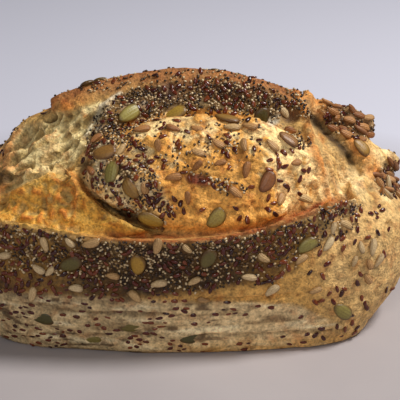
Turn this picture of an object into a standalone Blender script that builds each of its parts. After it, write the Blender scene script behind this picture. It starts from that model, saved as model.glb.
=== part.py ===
"""Seeded multigrain loaf: one baked solid with its crust lips, burst crumb, fissures and larger seeds.

Lengths are millimetres in the design and become metres when the mesh is made. +X runs along the loaf,
-Y is its front and +Z is up. Most of the relief is drawn in a front view of the loaf: 400 units square,
seen from a little above, where VIEW_SCALE units cover a millimetre at the foot of the front wall.
"""

import itertools
import math

import bpy
import numpy as np
from mathutils import Vector
from mathutils.bvhtree import BVHTree

MM = 0.001

# Overall sizes
LENGTH = 236.0
WIDTH = 140.0
HEIGHT = 122.0
FOOT_ROUND = 2.5

# Lower body: the part that the oven didn't lift
BODY_PLAN_POWER = 2.8
BODY_MIDDLE = 38.0
BODY_RISE = 37.0
BODY_RISE_POWER = 3.2
BODY_FOOT_FRONT = 95.0
BODY_FOOT_RIGHT = 52.0
BODY_FOOT_LEFT = 60.0
BODY_FOOT_POWER = 2.5

# Dome: the part that burst up between the cuts
DOME_CENTRE_X = 1.0
DOME_HALF_LENGTH = 109.0
DOME_HALF_WIDTH = 62.0
DOME_PLAN_POWER = 2.6
DOME_MIDDLE = 40.0
DOME_RISE = 74.0
DOME_FOOT = 80.0
DOME_JOIN = 12.0
SLOPE_STEP = 0.4

# Lattice on which the surface is found, and what is left of it
CRUST_STEP = 2.0
CRUST_TRIANGLES = 5000
CLEAR = 9.0
NEAR_STEPS = 3
JUST_INSIDE = -0.05

# Colour of the baked crust, linear
CRUST_COLOUR = (0.42, 0.25, 0.1)
CRUST_ROUGHNESS = 0.7

# Front view in which the relief is drawn
VIEW_TILT = math.radians(22.0)
VIEW_SCALE = 2.1
VIEW_DISTANCE = 650.0
VIEW_AIM = np.array([11.7, 0.0, 53.5])
VIEW_MIDDLE = 200.0
VIEW_LENS = VIEW_SCALE * 608.8


def smoothstep(low, high, value):
    t = np.clip((value - low) / (high - low), 0.0, 1.0)
    return t * t * (3.0 - 2.0 * t)


def soft_min(a, b, reach):
    share = np.clip(0.5 + 0.5 * (b - a) / reach, 0.0, 1.0)
    return b + (a - b) * share - reach * share * (1.0 - share)


def soft_max(a, b, reach):
    return -soft_min(-a, -b, reach)


LATTICE = np.random.default_rng(11).random((32, 32, 32)) * 2.0 - 1.0


def noise(p, size):
    """Smooth noise from -1 to 1 whose bumps are about size across."""
    grid = p / size
    cell = np.floor(grid).astype(int)
    part = grid - cell
    part = part * part * (3.0 - 2.0 * part)
    total = np.zeros(len(p))
    for corner in itertools.product((0, 1), repeat=3):
        weight = np.prod(np.where(corner, part, 1.0 - part), axis=1)
        i, j, k = ((cell + corner) % len(LATTICE)).T
        total += weight * LATTICE[i, j, k]
    return total


def body_level(p):
    """1 on the lower body's surface, less inside and more outside."""
    along = np.abs(p[:, 0] / (LENGTH / 2)) ** BODY_PLAN_POWER
    across = np.abs(p[:, 1] / (WIDTH / 2)) ** BODY_PLAN_POWER
    plan = (along + across) ** (1.0 / BODY_PLAN_POWER)
    rise = p[:, 2] - BODY_MIDDLE
    end_foot = np.where(p[:, 0] > 0, BODY_FOOT_RIGHT, BODY_FOOT_LEFT)
    share = along / np.maximum(along + across, 1e-9)
    foot = BODY_FOOT_FRONT + (end_foot - BODY_FOOT_FRONT) * smoothstep(0.1, 0.9, share)
    half = np.where(rise > 0, BODY_RISE, foot)
    power = np.where(rise > 0, BODY_RISE_POWER, BODY_FOOT_POWER)
    return (plan**power + np.abs(rise / half) ** power) ** (1.0 / power)


def dome_level(p):
    along = np.abs((p[:, 0] - DOME_CENTRE_X) / DOME_HALF_LENGTH) ** DOME_PLAN_POWER
    across = np.abs(p[:, 1] / DOME_HALF_WIDTH) ** DOME_PLAN_POWER
    plan = (along + across) ** (1.0 / DOME_PLAN_POWER)
    rise = p[:, 2] - DOME_MIDDLE
    half = np.where(rise > 0, DOME_RISE, DOME_FOOT)
    return np.sqrt(plan**2 + (rise / half) ** 2)


def slope(level, p):
    """The level's gradient by central differences."""
    columns = []
    for axis in range(3):
        shift = np.zeros(3)
        shift[axis] = SLOPE_STEP
        columns.append((level(p + shift) - level(p - shift)) / (2 * SLOPE_STEP))
    return np.stack(columns, axis=1)


def as_distance(level, p):
    """About the distance outside the level's surface, and the direction straight out of it."""
    lean = slope(level, p)
    steepness = np.maximum(np.linalg.norm(lean, axis=1), 1e-6)
    return (level(p) - 1.0) / steepness, lean / steepness[:, None]


def plain_loaf(p):
    """About the distance in millimetres outside the loaf without its relief, and the direction out of it."""
    body, body_out = as_distance(body_level, p)
    dome, dome_out = as_distance(dome_level, p)
    share = np.clip(0.5 + 0.5 * (dome - body) / DOME_JOIN, 0.0, 1.0)
    outside = dome + (body - dome) * share - DOME_JOIN * share * (1.0 - share)
    normal = dome_out + (body_out - dome_out) * share[:, None]
    return outside, normal / np.maximum(np.linalg.norm(normal, axis=1), 1e-6)[:, None]


def front_view(p):
    """Where points show in the front view: columns to the right and rows down."""
    away = p - VIEW_AIM
    depth = VIEW_DISTANCE + away[:, 1] * math.cos(VIEW_TILT) - away[:, 2] * math.sin(VIEW_TILT)
    up = away[:, 2] * math.cos(VIEW_TILT) + away[:, 1] * math.sin(VIEW_TILT)
    return VIEW_MIDDLE + VIEW_LENS * away[:, 0] / depth, VIEW_MIDDLE - VIEW_LENS * up / depth


def bent_line(points, steps=6):
    """A smooth line through a few points, as a finer list of points."""
    ends = [points[0], *points, points[-1]]
    line = []
    for a, b, c, d in zip(ends, ends[1:], ends[2:], ends[3:]):
        a, b, c, d = (np.array(q, float) for q in (a, b, c, d))
        for i in range(steps):
            t = i / steps
            bend = (2 * a - 5 * b + 4 * c - d) * t**2 + (3 * b - a - 3 * c + d) * t**3
            line.append(0.5 * (2 * b + (c - a) * t + bend))
    return np.array([*line, points[-1]])


def off_line(column, row, line):
    """Distance in millimetres from a line in the front view, above zero on its right hand as it is
    drawn, and the share of its length passed."""
    nearest = np.full(len(column), 1e9)
    passed = np.zeros(len(column))
    hand = np.ones(len(column))
    for n, (start, end) in enumerate(zip(line, line[1:])):
        run = end - start
        t = ((column - start[0]) * run[0] + (row - start[1]) * run[1]) / max(run @ run, 1e-9)
        t = np.clip(t, 0.0, 1.0)
        gap = np.hypot(column - start[0] - t * run[0], row - start[1] - t * run[1])
        closer = gap < nearest
        nearest = np.where(closer, gap, nearest)
        passed = np.where(closer, (n + t) / (len(line) - 1), passed)
        turned = run[0] * (row - start[1]) - run[1] * (column - start[0])
        hand = np.where(closer, np.where(turned < 0, -1.0, 1.0), hand)
    return hand * nearest / VIEW_SCALE, passed


def inside_outline(column, row, outline):
    """Distance in millimetres inside a closed outline in the front view, negative outside it."""
    inside = np.zeros(len(column), bool)
    for (x0, y0), (x1, y1) in zip(outline, np.roll(outline, -1, axis=0)):
        crosses = (y0 > row) != (y1 > row)
        rise = y1 - y0 if y1 != y0 else 1e-9
        inside ^= crosses & (column < (x1 - x0) * (row - y0) / rise + x0)
    gap, _ = off_line(column, row, np.vstack([outline, outline[:1]]))
    return np.where(inside, np.abs(gap), -np.abs(gap))


# Forms drawn in the front view, as (column, row)
FRONT_LIP = bent_line(
    [(-60, 196), (0, 224), (50, 233), (100, 241), (150, 244)]
    + [(200, 243), (250, 236), (300, 221), (330, 210), (362, 204)]
)
LIP_FLARE = 5.5
LIP_FLARE_DEPTH = 17.0
LIP_DROP = 8.5
ISLAND_SWELL = 7.0
FISSURE_OFF = 2.6
FISSURE_TUCK = 3.6
ISLAND_MIDDLE = (202.0, 171.0)
ISLAND_HALF = (118.0, 61.0)
TORN_OUTLINE = bent_line(
    [(-50, 175), (-8, 146), (18, 128), (40, 122), (52, 113), (72, 112), (90, 106), (102, 102), (104, 112)]
    + [(94, 128), (84, 146), (75, 160), (68, 168), (48, 173), (28, 181), (8, 191), (-40, 212)],
    3,
)
TORN_DEPTH = 4.0
TORN_PORES = 26
TORN_RIDGE = bent_line([(8, 172), (30, 168), (46, 163), (60, 153), (70, 152)])
TORN_HOLLOW = bent_line([(14, 166), (34, 158), (54, 146)])
POCKETS = (
    (290, 115, 6.5), (60, 161, 3.8), (62, 176, 4.2), (66, 195, 4.2), (50, 200, 2.4), (2, 176, 6.0),
)
FLAP_OUTLINE = bent_line(
    [(-50, 212), (0, 196), (24, 186), (46, 175), (66, 168), (76, 178), (90, 193), (102, 205), (116, 215)]
    + [(132, 225), (150, 232), (110, 238), (50, 230), (0, 221), (-50, 200)],
    3,
)
FLAP_EDGE = bent_line([(66, 169), (76, 179), (89, 193), (101, 205), (114, 215), (130, 225), (152, 233)])
FLAP_FOLD = bent_line([(73, 178), (77, 192), (73, 208)])
RIGHT_RIB = bent_line([(296, 90), (304, 108), (309, 127), (313, 143), (319, 162), (326, 188), (330, 215)])
END_RIB = bent_line([(306, 91), (320, 103), (335, 119), (350, 137), (362, 154), (375, 174)])
HOLLOW = bent_line([(313, 119), (322, 127), (334, 139), (347, 153), (358, 172)])
HOLLOW_DEPTH = 11.0
HOLLOW_HALF = 2.8
LIP_FOLD = bent_line([(226, 233), (256, 222), (288, 208), (314, 204)])
WALL_CRACK = bent_line([(198, 304), (236, 302), (268, 300), (292, 298)])
ISLAND_SPLIT = bent_line([(190, 177), (210, 182), (240, 193)])
EAR_LEFT, EAR_RIGHT = 54.0, 335.0
EAR_RISE = 8.5
EAR_DROOP = 3.2
EAR_MIDDLE_X = 16.0
EAR_Y = 5.0
EAR_BOW = 6.5
EAR_BOW_REACH = 90.0
EAR_WAVE = 1.3
EAR_WAVE_LENGTH = 9.0
EAR_LEAN = 0.35

# Larger seeds that show best, as (column, row, turn of the long axis in degrees from the row's direction)
PUMPKIN_SEEDS = (
    (105, 153, 5), (112, 173, 82), (131, 189, 125), (151, 219, 152), (216, 218, 52), (267, 182, 62),
    (129, 114, 35), (175, 114, 10), (227, 120, -25), (261, 119, 85), (288, 140, -38), (138, 264, 85),
    (71, 263, 35), (208, 258, 75), (307, 245, 32), (342, 311, -35), (344, 353, 15), (388, 326, 50),
    (43, 319, -4), (91, 339, 0), (130, 327, 5), (190, 337, 8), (361, 148, -50),
)
SUNFLOWER_SEEDS = (
    (45, 244, 100), (70, 242, -50), (91, 243, 20), (5, 255, 20), (39, 269, -30), (50, 271, 50),
    (113, 276, -10), (76, 288, -5), (159, 283, 10), (249, 277, -8), (301, 259, 35), (328, 244, 55),
    (333, 228, 85), (345, 224, -20), (361, 247, -65), (372, 247, 85), (354, 261, 75), (369, 264, -60),
    (378, 260, 60), (367, 278, -50), (121, 151, 70), (144, 188, -60), (197, 165, 60), (220, 163, 20),
    (198, 153, -20), (218, 144, -35), (272, 146, -45), (232, 128, 0), (250, 127, -30), (197, 129, -20),
    (142, 130, 20), (96, 139, 50), (91, 171, -60), (336, 107, -20), (349, 120, -15), (360, 131, -10),
    (369, 134, -25), (368, 118, 10),
)
SEED_LENGTHS = {"pumpkin": 12.0, "sunflower": 8.0}
SEED_WIDTHS = {"pumpkin": 7.4, "sunflower": 4.0}
SEED_HEIGHTS = {"pumpkin": 3.4, "sunflower": 3.2}
SEED_SUNK = 0.18
SEED_SIDES = 5
SEED_RINGS = 4

# How many more of each are strewn, over which part of which view: (left, top, right, bottom)
STREWN = (
    ("pumpkin", "back", (40, 90, 360, 290), 12),
    ("sunflower", "back", (30, 85, 370, 300), 22),
    ("sunflower", "front", (150, 112, 310, 205), 12),
    ("sunflower", "front", (20, 245, 330, 300), 9),
)
SEED_SPACING = 11.0

# Clumps of dough and seeds that the burst left standing: both ends and the radius there
CLUMPS = (((72, 8, 97), 7.5, (95, 12, 90), 6.0), ((98, 2, 74), 7.5, (107, 4, 72), 6.0))


def island_reach(column, row):
    """0 in the middle of the island between the cuts, 1 at its edge."""
    return np.hypot((column - ISLAND_MIDDLE[0]) / ISLAND_HALF[0], (row - ISLAND_MIDDLE[1]) / ISLAND_HALF[1])


def island_gap(column, row):
    """About the distance in millimetres outside the island's edge, negative on the island."""
    reach = np.maximum(island_reach(column, row), 0.05)
    (middle_column, middle_row), (half_width, half_height) = ISLAND_MIDDLE, ISLAND_HALF
    steepness = np.hypot((column - middle_column) / half_width**2, (row - middle_row) / half_height**2)
    return (reach - 1.0) * reach / np.maximum(steepness, 1e-4) / VIEW_SCALE


def lip_relief(column, row):
    """The long front lip: the wall flares out to its sharp edge, and a shelf drops away behind it."""
    edge = np.interp(column, FRONT_LIP[:, 0], FRONT_LIP[:, 1])
    above = (edge - row) / VIEW_SCALE
    below = np.clip(1.0 + above / LIP_FLARE_DEPTH, 0.0, 1.0)
    flare = LIP_FLARE * below**1.5 - 1.2 * np.exp(-(((above + 15.0) / 6.0) ** 2))
    raised = smoothstep(215.0, 300.0, column)
    shelf = LIP_FLARE - (LIP_DROP + 3.5 * raised) * smoothstep(0.0, 2.6, above)
    back_out = 1.0 - smoothstep(9.0, 30.0, above)
    bead = 0.9 * np.exp(-((above / 1.3) ** 2))
    profile = np.where(above < 0.0, flare, shelf * back_out) + bead
    return profile * (1.0 - smoothstep(352.0, 360.0, column)) * smoothstep(-58.0, -30.0, column)


def island_relief(column, row):
    """The island swells like a pillow inside a fissure that is deepest behind it and at its left foot."""
    reach = island_reach(column, row)
    turn = np.arctan2(ISLAND_MIDDLE[1] - row, column - ISLAND_MIDDLE[0])
    pillow = ISLAND_SWELL * np.sqrt(np.clip(1.0 - reach**3, 0.0, 1.0))
    behind = smoothstep(0.15, 0.8, np.sin(turn))
    left_foot = np.exp(-(((np.mod(turn, 2 * math.pi) - math.radians(208)) / 0.42) ** 2))
    gap = island_gap(column, row) - FISSURE_OFF + FISSURE_TUCK * left_foot
    right_side = np.exp(-(((turn - math.radians(18)) / 0.4) ** 2))
    depth = 10.0 * behind + 12.0 * left_foot + 3.5 * right_side * (1.0 - behind)
    return pillow - depth * np.exp(-((gap / (2.3 + 1.9 * behind)) ** 2))


def ear_line(x):
    """How far back the ear's rim runs: it bends round the island and waves a little."""
    bow = EAR_BOW * ((x - DOME_CENTRE_X) / EAR_BOW_REACH) ** 2
    return EAR_Y - bow + EAR_WAVE * np.sin(x / EAR_WAVE_LENGTH) * np.sin(x / 23.0 + 0.6)


def ear_relief(column, q, outside):
    """The crust behind the island stands up as an ear that leans over the fissure."""
    past = q[:, 1] - ear_line(q[:, 0]) + EAR_LEAN * outside
    height = EAR_RISE - EAR_DROOP * smoothstep(12.0, 48.0, np.abs(q[:, 0] - EAR_MIDDLE_X))
    rise = height * smoothstep(-17.0, -2.0, past) * (1.0 - smoothstep(0.0, 36.0, past))
    rim = np.exp(-((past / 2.4) ** 2))
    left_end = smoothstep(EAR_LEFT - 3, EAR_LEFT + 3, column)
    right_end = 1.0 - smoothstep(EAR_RIGHT - 24, EAR_RIGHT, column)
    return (rise + 1.6 * rim) * left_end * right_end


def torn_edge(gap, height, steep, gentle):
    """A raised edge: steep on the right hand of its line, sloping away gently on the left."""
    return height * np.exp(-((gap / np.where(gap > 0, steep, gentle)) ** 2))


def torn_relief(column, row, q):
    """The torn crumb lies lower than the crust round it, craggy, with a ridge below a hollow."""
    inside = inside_outline(column, row, TORN_OUTLINE)
    ridge, _ = off_line(column, row, TORN_RIDGE)
    hollow, _ = off_line(column, row, TORN_HOLLOW)
    crags = 1.3 * noise(q, 7.0) + 0.9 * noise(q, 3.5)
    crags += torn_edge(ridge, 3.6, 3.2, 1.6) - 3.6 * np.exp(-((hollow / 3.4) ** 2))
    return smoothstep(-1.5, 3.0, inside) * (crags - TORN_DEPTH)


def flap_relief(column, row):
    """The flap of crust at the left lifts off towards its curled edge, with a fold beside a pocket."""
    inside = inside_outline(column, row, FLAP_OUTLINE)
    edge, _ = off_line(column, row, FLAP_EDGE)
    fold, passed = off_line(column, row, FLAP_FOLD)
    lift = 1.5 + torn_edge(-edge, 4.8, 1.4, 4.0)
    return smoothstep(-0.8, 1.0, inside) * (lift + torn_edge(-fold, 3.2 * np.sin(math.pi * passed), 1.2, 4.0))


def right_relief(column, row, q):
    """The ribs at the right end, the hollow under the outer one's crumpled edge, and the lip's inner fold."""
    rib, passed = off_line(column, row, RIGHT_RIB)
    end_rib, end_passed = off_line(column, row, END_RIB)
    hollow, _ = off_line(column, row, HOLLOW)
    ends = smoothstep(0.0, 0.1, end_passed) * (1.0 - smoothstep(0.85, 1.0, end_passed))
    crumple = 1.0 + 0.35 * noise(q, 5.0)
    ribs = torn_edge(rib, 3.6 * (1.0 - 0.6 * passed), 1.4, 3.0) + torn_edge(end_rib, 5.4 * ends, 2.2, 6.0)
    ribs *= crumple
    fold, fold_passed = off_line(column, row, LIP_FOLD)
    ribs += torn_edge(fold, 1.8 * np.sin(math.pi * np.clip(fold_passed, 0.0, 1.0)), 1.2, 2.6)
    return ribs - HOLLOW_DEPTH * np.exp(-((hollow / HOLLOW_HALF) ** 2))


def crack_relief(column, row):
    """The crack along the front wall, and the small split on the island."""
    crack, _ = off_line(column, row, WALL_CRACK)
    split, _ = off_line(column, row, ISLAND_SPLIT)
    step = torn_edge(-split, 1.5, 1.0, 3.0) - torn_edge(split, 1.8, 1.6, 0.6)
    return step - 2.2 * np.exp(-((crack / 1.0) ** 2))


def back_relief(p):
    """A low fold along the back wall, which the cuts never reached."""
    fold = p[:, 2] - 62.0 - 4.0 * np.sin(p[:, 0] / 31.0)
    bulge = 2.4 * np.exp(-((fold / 6.0) ** 2)) - 1.2 * np.exp(-(((fold - 11.0) / 5.0) ** 2))
    return smoothstep(20.0, 45.0, p[:, 1]) * bulge


def relief(q, outside, normal):
    """How far the crust at q, on the plain loaf, stands out from it."""
    column, row = front_view(q)
    away = np.array([0.0, -math.cos(VIEW_TILT), math.sin(VIEW_TILT)])
    facing = smoothstep(-0.05, 0.25, normal @ away)
    seen = lip_relief(column, row) + island_relief(column, row) + torn_relief(column, row, q)
    seen += flap_relief(column, row) + right_relief(column, row, q) + crack_relief(column, row)
    swell = 1.6 * noise(q, 42.0) + 0.9 * noise(q, 15.0) + 0.55 * noise(q + 31.0, 8.0)
    return facing * seen + ear_relief(column, q, outside) + back_relief(q) + swell


def crust_spots(column, row):
    """Points of the plain loaf at places of the front view, and the directions straight out there."""
    ahead = np.array([0.0, math.cos(VIEW_TILT), -math.sin(VIEW_TILT)])
    up = np.array([0.0, math.sin(VIEW_TILT), math.cos(VIEW_TILT)])
    ray = VIEW_LENS * ahead + np.outer(VIEW_MIDDLE - row, up)
    ray[:, 0] += column - VIEW_MIDDLE
    ray /= np.linalg.norm(ray, axis=1)[:, None]
    spots = VIEW_AIM - VIEW_DISTANCE * ahead + 500.0 * ray
    for _ in range(40):
        outside, normal = plain_loaf(spots)
        spots = spots + 0.8 * outside[:, None] * ray
    return spots, normal


def pores():
    """Round pores that the burst opened: (centres, radii)."""
    rng = np.random.default_rng(17)
    places = rng.uniform((-5, 98), (104, 192), (400, 2))
    places = places[inside_outline(places[:, 0], places[:, 1], TORN_OUTLINE) > 1.0][:TORN_PORES]
    radii = rng.uniform(2.6, 6.6, len(places))
    spots, out = crust_spots(places[:, 0], places[:, 1])
    centres = spots + out * (0.35 * radii - TORN_DEPTH)[:, None]
    pockets = np.array(POCKETS)
    pocket_radii = pockets[:, 2]
    spots, out = crust_spots(pockets[:, 0], pockets[:, 1])
    pockets = spots + out * (0.3 * pocket_radii)[:, None]
    return list(zip(np.concatenate([centres, pockets]), np.concatenate([radii, pocket_radii])))


PORES = pores()


def clump_distance(p, start, radius, end, end_radius):
    start, end = np.array(start, float), np.array(end, float)
    run = end - start
    t = np.clip((p - start) @ run / (run @ run), 0.0, 1.0)
    return np.linalg.norm(p - start - t[:, None] * run, axis=1) - radius - (end_radius - radius) * t


def loaf(p):
    """About the distance outside the loaf with its relief, in millimetres."""
    outside, normal = plain_loaf(p)
    crust = outside - relief(p - outside[:, None] * normal, outside, normal)
    for centre, radius in PORES:
        crust = soft_max(crust, radius - np.linalg.norm(p - centre, axis=1), 1.0)
    for clump in CLUMPS:
        crust = soft_min(crust, clump_distance(p, *clump) + 0.8 * noise(p, 5.0), 4.0)
    return soft_max(crust, -p[:, 2], FOOT_ROUND)


def spread(marked, reach):
    """Marks the neighbours of each marked place of a lattice, reach steps out."""
    for axis in range(3):
        for _ in range(reach):
            grown = marked.copy()
            view, out = np.moveaxis(marked, axis, 0), np.moveaxis(grown, axis, 0)
            out[1:] |= view[:-1]
            out[:-1] |= view[1:]
            marked = grown
    return marked


def lattice_values(field, low, counts, step, finer):
    """The field on a lattice, worked out again near the surface each time the lattice is made finer."""
    if finer == 0:
        places = np.indices(counts).reshape(3, -1).T
        return field(low + step * places).reshape(counts)
    values = lattice_values(field, low, (counts + 1) // 2, step * 2, finer - 1)
    for axis in range(3):
        rough = np.moveaxis(values, axis, 0)
        fine = np.empty((2 * len(rough) - 1, *rough.shape[1:]))
        fine[::2] = rough
        fine[1::2] = (rough[1:] + rough[:-1]) / 2
        values = np.moveaxis(fine, 0, axis)
    near = spread(values < 0, NEAR_STEPS) & spread(values >= 0, NEAR_STEPS)
    values = np.ascontiguousarray(values)
    values[near] = field(low + step * np.argwhere(near))
    return values


def fill_pinches(values):
    """Fills the places of a lattice where its surface would touch itself along an edge."""
    pinched = True
    while pinched:
        pinched = False
        for plane in ((0, 1), (1, 2), (2, 0)):
            view = np.moveaxis(values, plane, (0, 1))
            a, b, c, d = view[:-1, :-1], view[1:, :-1], view[:-1, 1:], view[1:, 1:]
            falling = (a < 0) & (d < 0) & (b >= 0) & (c >= 0)
            rising = (b < 0) & (c < 0) & (a >= 0) & (d >= 0)
            b[falling] = JUST_INSIDE
            a[rising] = JUST_INSIDE
            pinched = pinched or falling.any() or rising.any()


def surface_net(values, low, step):
    """A closed mesh of quads where the lattice's values are zero: (points, quads)."""
    corners = list(itertools.product((0, 1), repeat=3))
    cells = np.array(values.shape) - 1

    def at(corner):
        return values[tuple(slice(c, c + n) for c, n in zip(corner, cells))]

    inside = sum((at(c) < 0).astype(int) for c in corners)
    mixed = (inside > 0) & (inside < 8)
    index = np.full(cells, -1)
    index[mixed] = np.arange(mixed.sum())
    base = np.argwhere(mixed)
    total = np.zeros((len(base), 3))
    hits = np.zeros(len(base))
    for a, b in itertools.combinations(corners, 2):
        if sum(abs(i - j) for i, j in zip(a, b)) != 1:
            continue
        va, vb = at(a)[mixed], at(b)[mixed]
        cut = (va < 0) != (vb < 0)
        t = np.where(cut, va / np.where(cut, va - vb, 1.0), 0.0)[:, None]
        total += np.where(cut[:, None], np.array(a) * (1 - t) + np.array(b) * t, 0.0)
        hits += cut
    points = low + step * (base + total / hits[:, None])
    quads = []
    for axis in range(3):
        u, v = (axis + 1) % 3, (axis + 2) % 3
        first = [slice(1, -1)] * 3
        first[axis] = slice(0, -1)
        second = list(first)
        second[axis] = slice(1, None)
        here, there = values[tuple(first)] < 0, values[tuple(second)] < 0
        for leaving in (True, False):
            spots = np.argwhere(here & ~there if leaving else ~here & there)
            spots[:, u] += 1
            spots[:, v] += 1
            ring = []
            for du, dv in ((0, 0), (1, 0), (1, 1), (0, 1)):
                cell = spots.copy()
                cell[:, u] -= du
                cell[:, v] -= dv
                ring.append(index[tuple(cell.T)])
            quad = np.stack(ring, axis=1)
            quads.append(quad if leaving else quad[:, ::-1])
    return points, np.concatenate(quads)


def loaf_surface(step, finer):
    """The crust as points and quads, sized exactly, standing on z = 0 over the origin."""
    low = np.array([-LENGTH / 2, -WIDTH / 2, 0.0]) - CLEAR
    size = np.array([LENGTH, WIDTH, HEIGHT]) + 2 * CLEAR
    counts = np.ceil(size / (step * 2**finer)).astype(int) * 2**finer + 1
    values = lattice_values(loaf, low, counts, step, finer)
    fill_pinches(values)
    points, quads = surface_net(values, low, step)
    lowest, highest = points.min(axis=0), points.max(axis=0)
    scale = np.array([LENGTH, WIDTH, HEIGHT]) / (highest - lowest)
    middle = (lowest + highest) / 2
    middle[2] = lowest[2]
    return (points - middle) * scale, quads


def eye_and_ray(view, column, row):
    """Where a view of the loaf is seen from, and the direction through one place of it."""
    side = -1.0 if view == "back" else 1.0
    right = np.array([side, 0.0, 0.0])
    ahead = np.array([0.0, side * math.cos(VIEW_TILT), -math.sin(VIEW_TILT)])
    up = np.array([0.0, side * math.sin(VIEW_TILT), math.cos(VIEW_TILT)])
    ray = VIEW_LENS * ahead + (column - VIEW_MIDDLE) * right + (VIEW_MIDDLE - row) * up
    return VIEW_AIM * [side, side, 1.0] - VIEW_DISTANCE * ahead, ray / np.linalg.norm(ray), right, up


def seed_place(tree, view, column, row, turn):
    """Where a seed lies on the crust: (middle, long axis, side, out), or None where the view misses it."""
    eye, ray, right, up = eye_and_ray(view, column, row)
    spot, out, _, _ = tree.ray_cast(Vector(eye), Vector(ray))
    if spot is None:
        return None
    out = np.array(out)
    along = math.cos(math.radians(turn)) * right + math.sin(math.radians(turn)) * up
    along -= (along @ out) * out
    along /= np.linalg.norm(along)
    return np.array(spot), along, np.cross(out, along), out


def is_clear(place, places):
    return all(np.linalg.norm(place[0] - other[0]) > SEED_SPACING for _, other in places if other)


def seed_places(tree):
    """Every larger seed: (kind, place)."""
    places = []
    for kind, sites in (("pumpkin", PUMPKIN_SEEDS), ("sunflower", SUNFLOWER_SEEDS)):
        places += [(kind, seed_place(tree, "front", *site)) for site in sites]
    rng = np.random.default_rng(5)
    for kind, view, (left, top, right, bottom), wanted in STREWN:
        found = 0
        for _ in range(30 * wanted):
            column, row, turn = rng.uniform(left, right), rng.uniform(top, bottom), rng.uniform(0, 180)
            place = seed_place(tree, view, column, row, turn)
            if place and found < wanted and is_clear(place, places):
                places.append((kind, place))
                found += 1
    return [(kind, place) for kind, place in places if place]


def seed_mesh(kind, place, rng):
    """A flat pointed seed, blunt at one end: (points, faces)."""
    middle, along, side, out = place
    length, width, height = (sizes[kind] for sizes in (SEED_LENGTHS, SEED_WIDTHS, SEED_HEIGHTS))
    grow = rng.uniform(0.88, 1.08)
    middle = middle + out * height * (0.5 - SEED_SUNK) * 0.5
    points = []
    for ring in range(1, SEED_RINGS):
        t = math.pi * ring / SEED_RINGS
        for n in range(SEED_SIDES):
            a = 2 * math.pi * (n + 0.25) / SEED_SIDES
            wide = math.sin(t) * (1.0 + 0.18 * math.cos(t))
            points.append(
                middle
                + along * math.cos(t) * length / 2 * grow
                + side * wide * math.cos(a) * width / 2 * grow
                + out * wide * math.sin(a) * height / 2 * grow
            )
    points += [middle + along * length / 2 * grow, middle - along * length / 2 * grow]
    tip, tail = len(points) - 2, len(points) - 1
    faces = []
    for n in range(SEED_SIDES):
        m = (n + 1) % SEED_SIDES
        faces.append((tip, n, m))
        for ring in range(SEED_RINGS - 2):
            a, b = ring * SEED_SIDES, (ring + 1) * SEED_SIDES
            faces += [(a + n, b + n, b + m), (a + n, b + m, a + m)]
        last = (SEED_RINGS - 2) * SEED_SIDES
        faces.append((last + n, tail, last + m))
    return np.array(points), np.array(faces)


def mesh_object(name, points, faces):
    mesh = bpy.data.meshes.new(name)
    mesh.from_pydata((points * MM).tolist(), [], faces.tolist())
    mesh.update()
    obj = bpy.data.objects.new(name, mesh)
    bpy.context.scene.collection.objects.link(obj)
    return obj


def apply_modifiers(obj):
    graph = bpy.context.evaluated_depsgraph_get()
    mesh = bpy.data.meshes.new_from_object(obj.evaluated_get(graph))
    obj.modifiers.clear()
    obj.data = mesh


def thin_out(obj, triangles):
    """Fewer triangles, spent where the crust bends most."""
    modifier = obj.modifiers.new("Fewer triangles", "DECIMATE")
    modifier.ratio = triangles / (2 * len(obj.data.polygons))
    modifier.use_collapse_triangulate = True
    apply_modifiers(obj)


def fuse_seeds(obj):
    tree = BVHTree.FromPolygons(
        [v.co / MM for v in obj.data.vertices], [tuple(face.vertices) for face in obj.data.polygons]
    )
    seeds = bpy.data.collections.new("seeds")
    rng = np.random.default_rng(8)
    for kind, place in seed_places(tree):
        seed = mesh_object(kind, *seed_mesh(kind, place, rng))
        bpy.context.scene.collection.objects.unlink(seed)
        seeds.objects.link(seed)
    modifier = obj.modifiers.new("Seeds", "BOOLEAN")
    modifier.operand_type = "COLLECTION"
    modifier.collection = seeds
    modifier.operation = "UNION"
    modifier.solver = "EXACT"
    modifier.use_self = True
    bpy.context.scene.collection.children.link(seeds)
    apply_modifiers(obj)
    for seed in list(seeds.objects):
        bpy.data.objects.remove(seed)
    bpy.data.collections.remove(seeds)


def crust_material():
    material = bpy.data.materials.new("crust")
    material.use_nodes = True
    shader = material.node_tree.nodes["Principled BSDF"]
    shader.inputs["Base Color"].default_value = (*CRUST_COLOUR, 1.0)
    shader.inputs["Roughness"].default_value = CRUST_ROUGHNESS
    return material


def main():
    for obj in list(bpy.data.objects):
        bpy.data.objects.remove(obj)
    loaf_object = mesh_object("loaf", *loaf_surface(CRUST_STEP, 1))
    thin_out(loaf_object, CRUST_TRIANGLES)
    fuse_seeds(loaf_object)
    loaf_object.data.materials.clear()
    loaf_object.data.materials.append(crust_material())


if __name__ == "__main__":
    main()
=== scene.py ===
"""Seeded multigrain loaf as it looks: browned crust, torn crumb, floured foot and thousands of seeds.

Lengths are millimetres in the design and become metres when a mesh is made. The loaf stands on z = 0 with
its length along X and its front towards -Y. Its relief, its colours and its seeds are laid out in a front
view of the loaf, 400 units square, seen from a little above, where VIEW_SCALE units cover a millimetre at
the front's foot.
"""

import itertools
import math

import bpy
import numpy as np
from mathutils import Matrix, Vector
from mathutils.bvhtree import BVHTree


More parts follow.
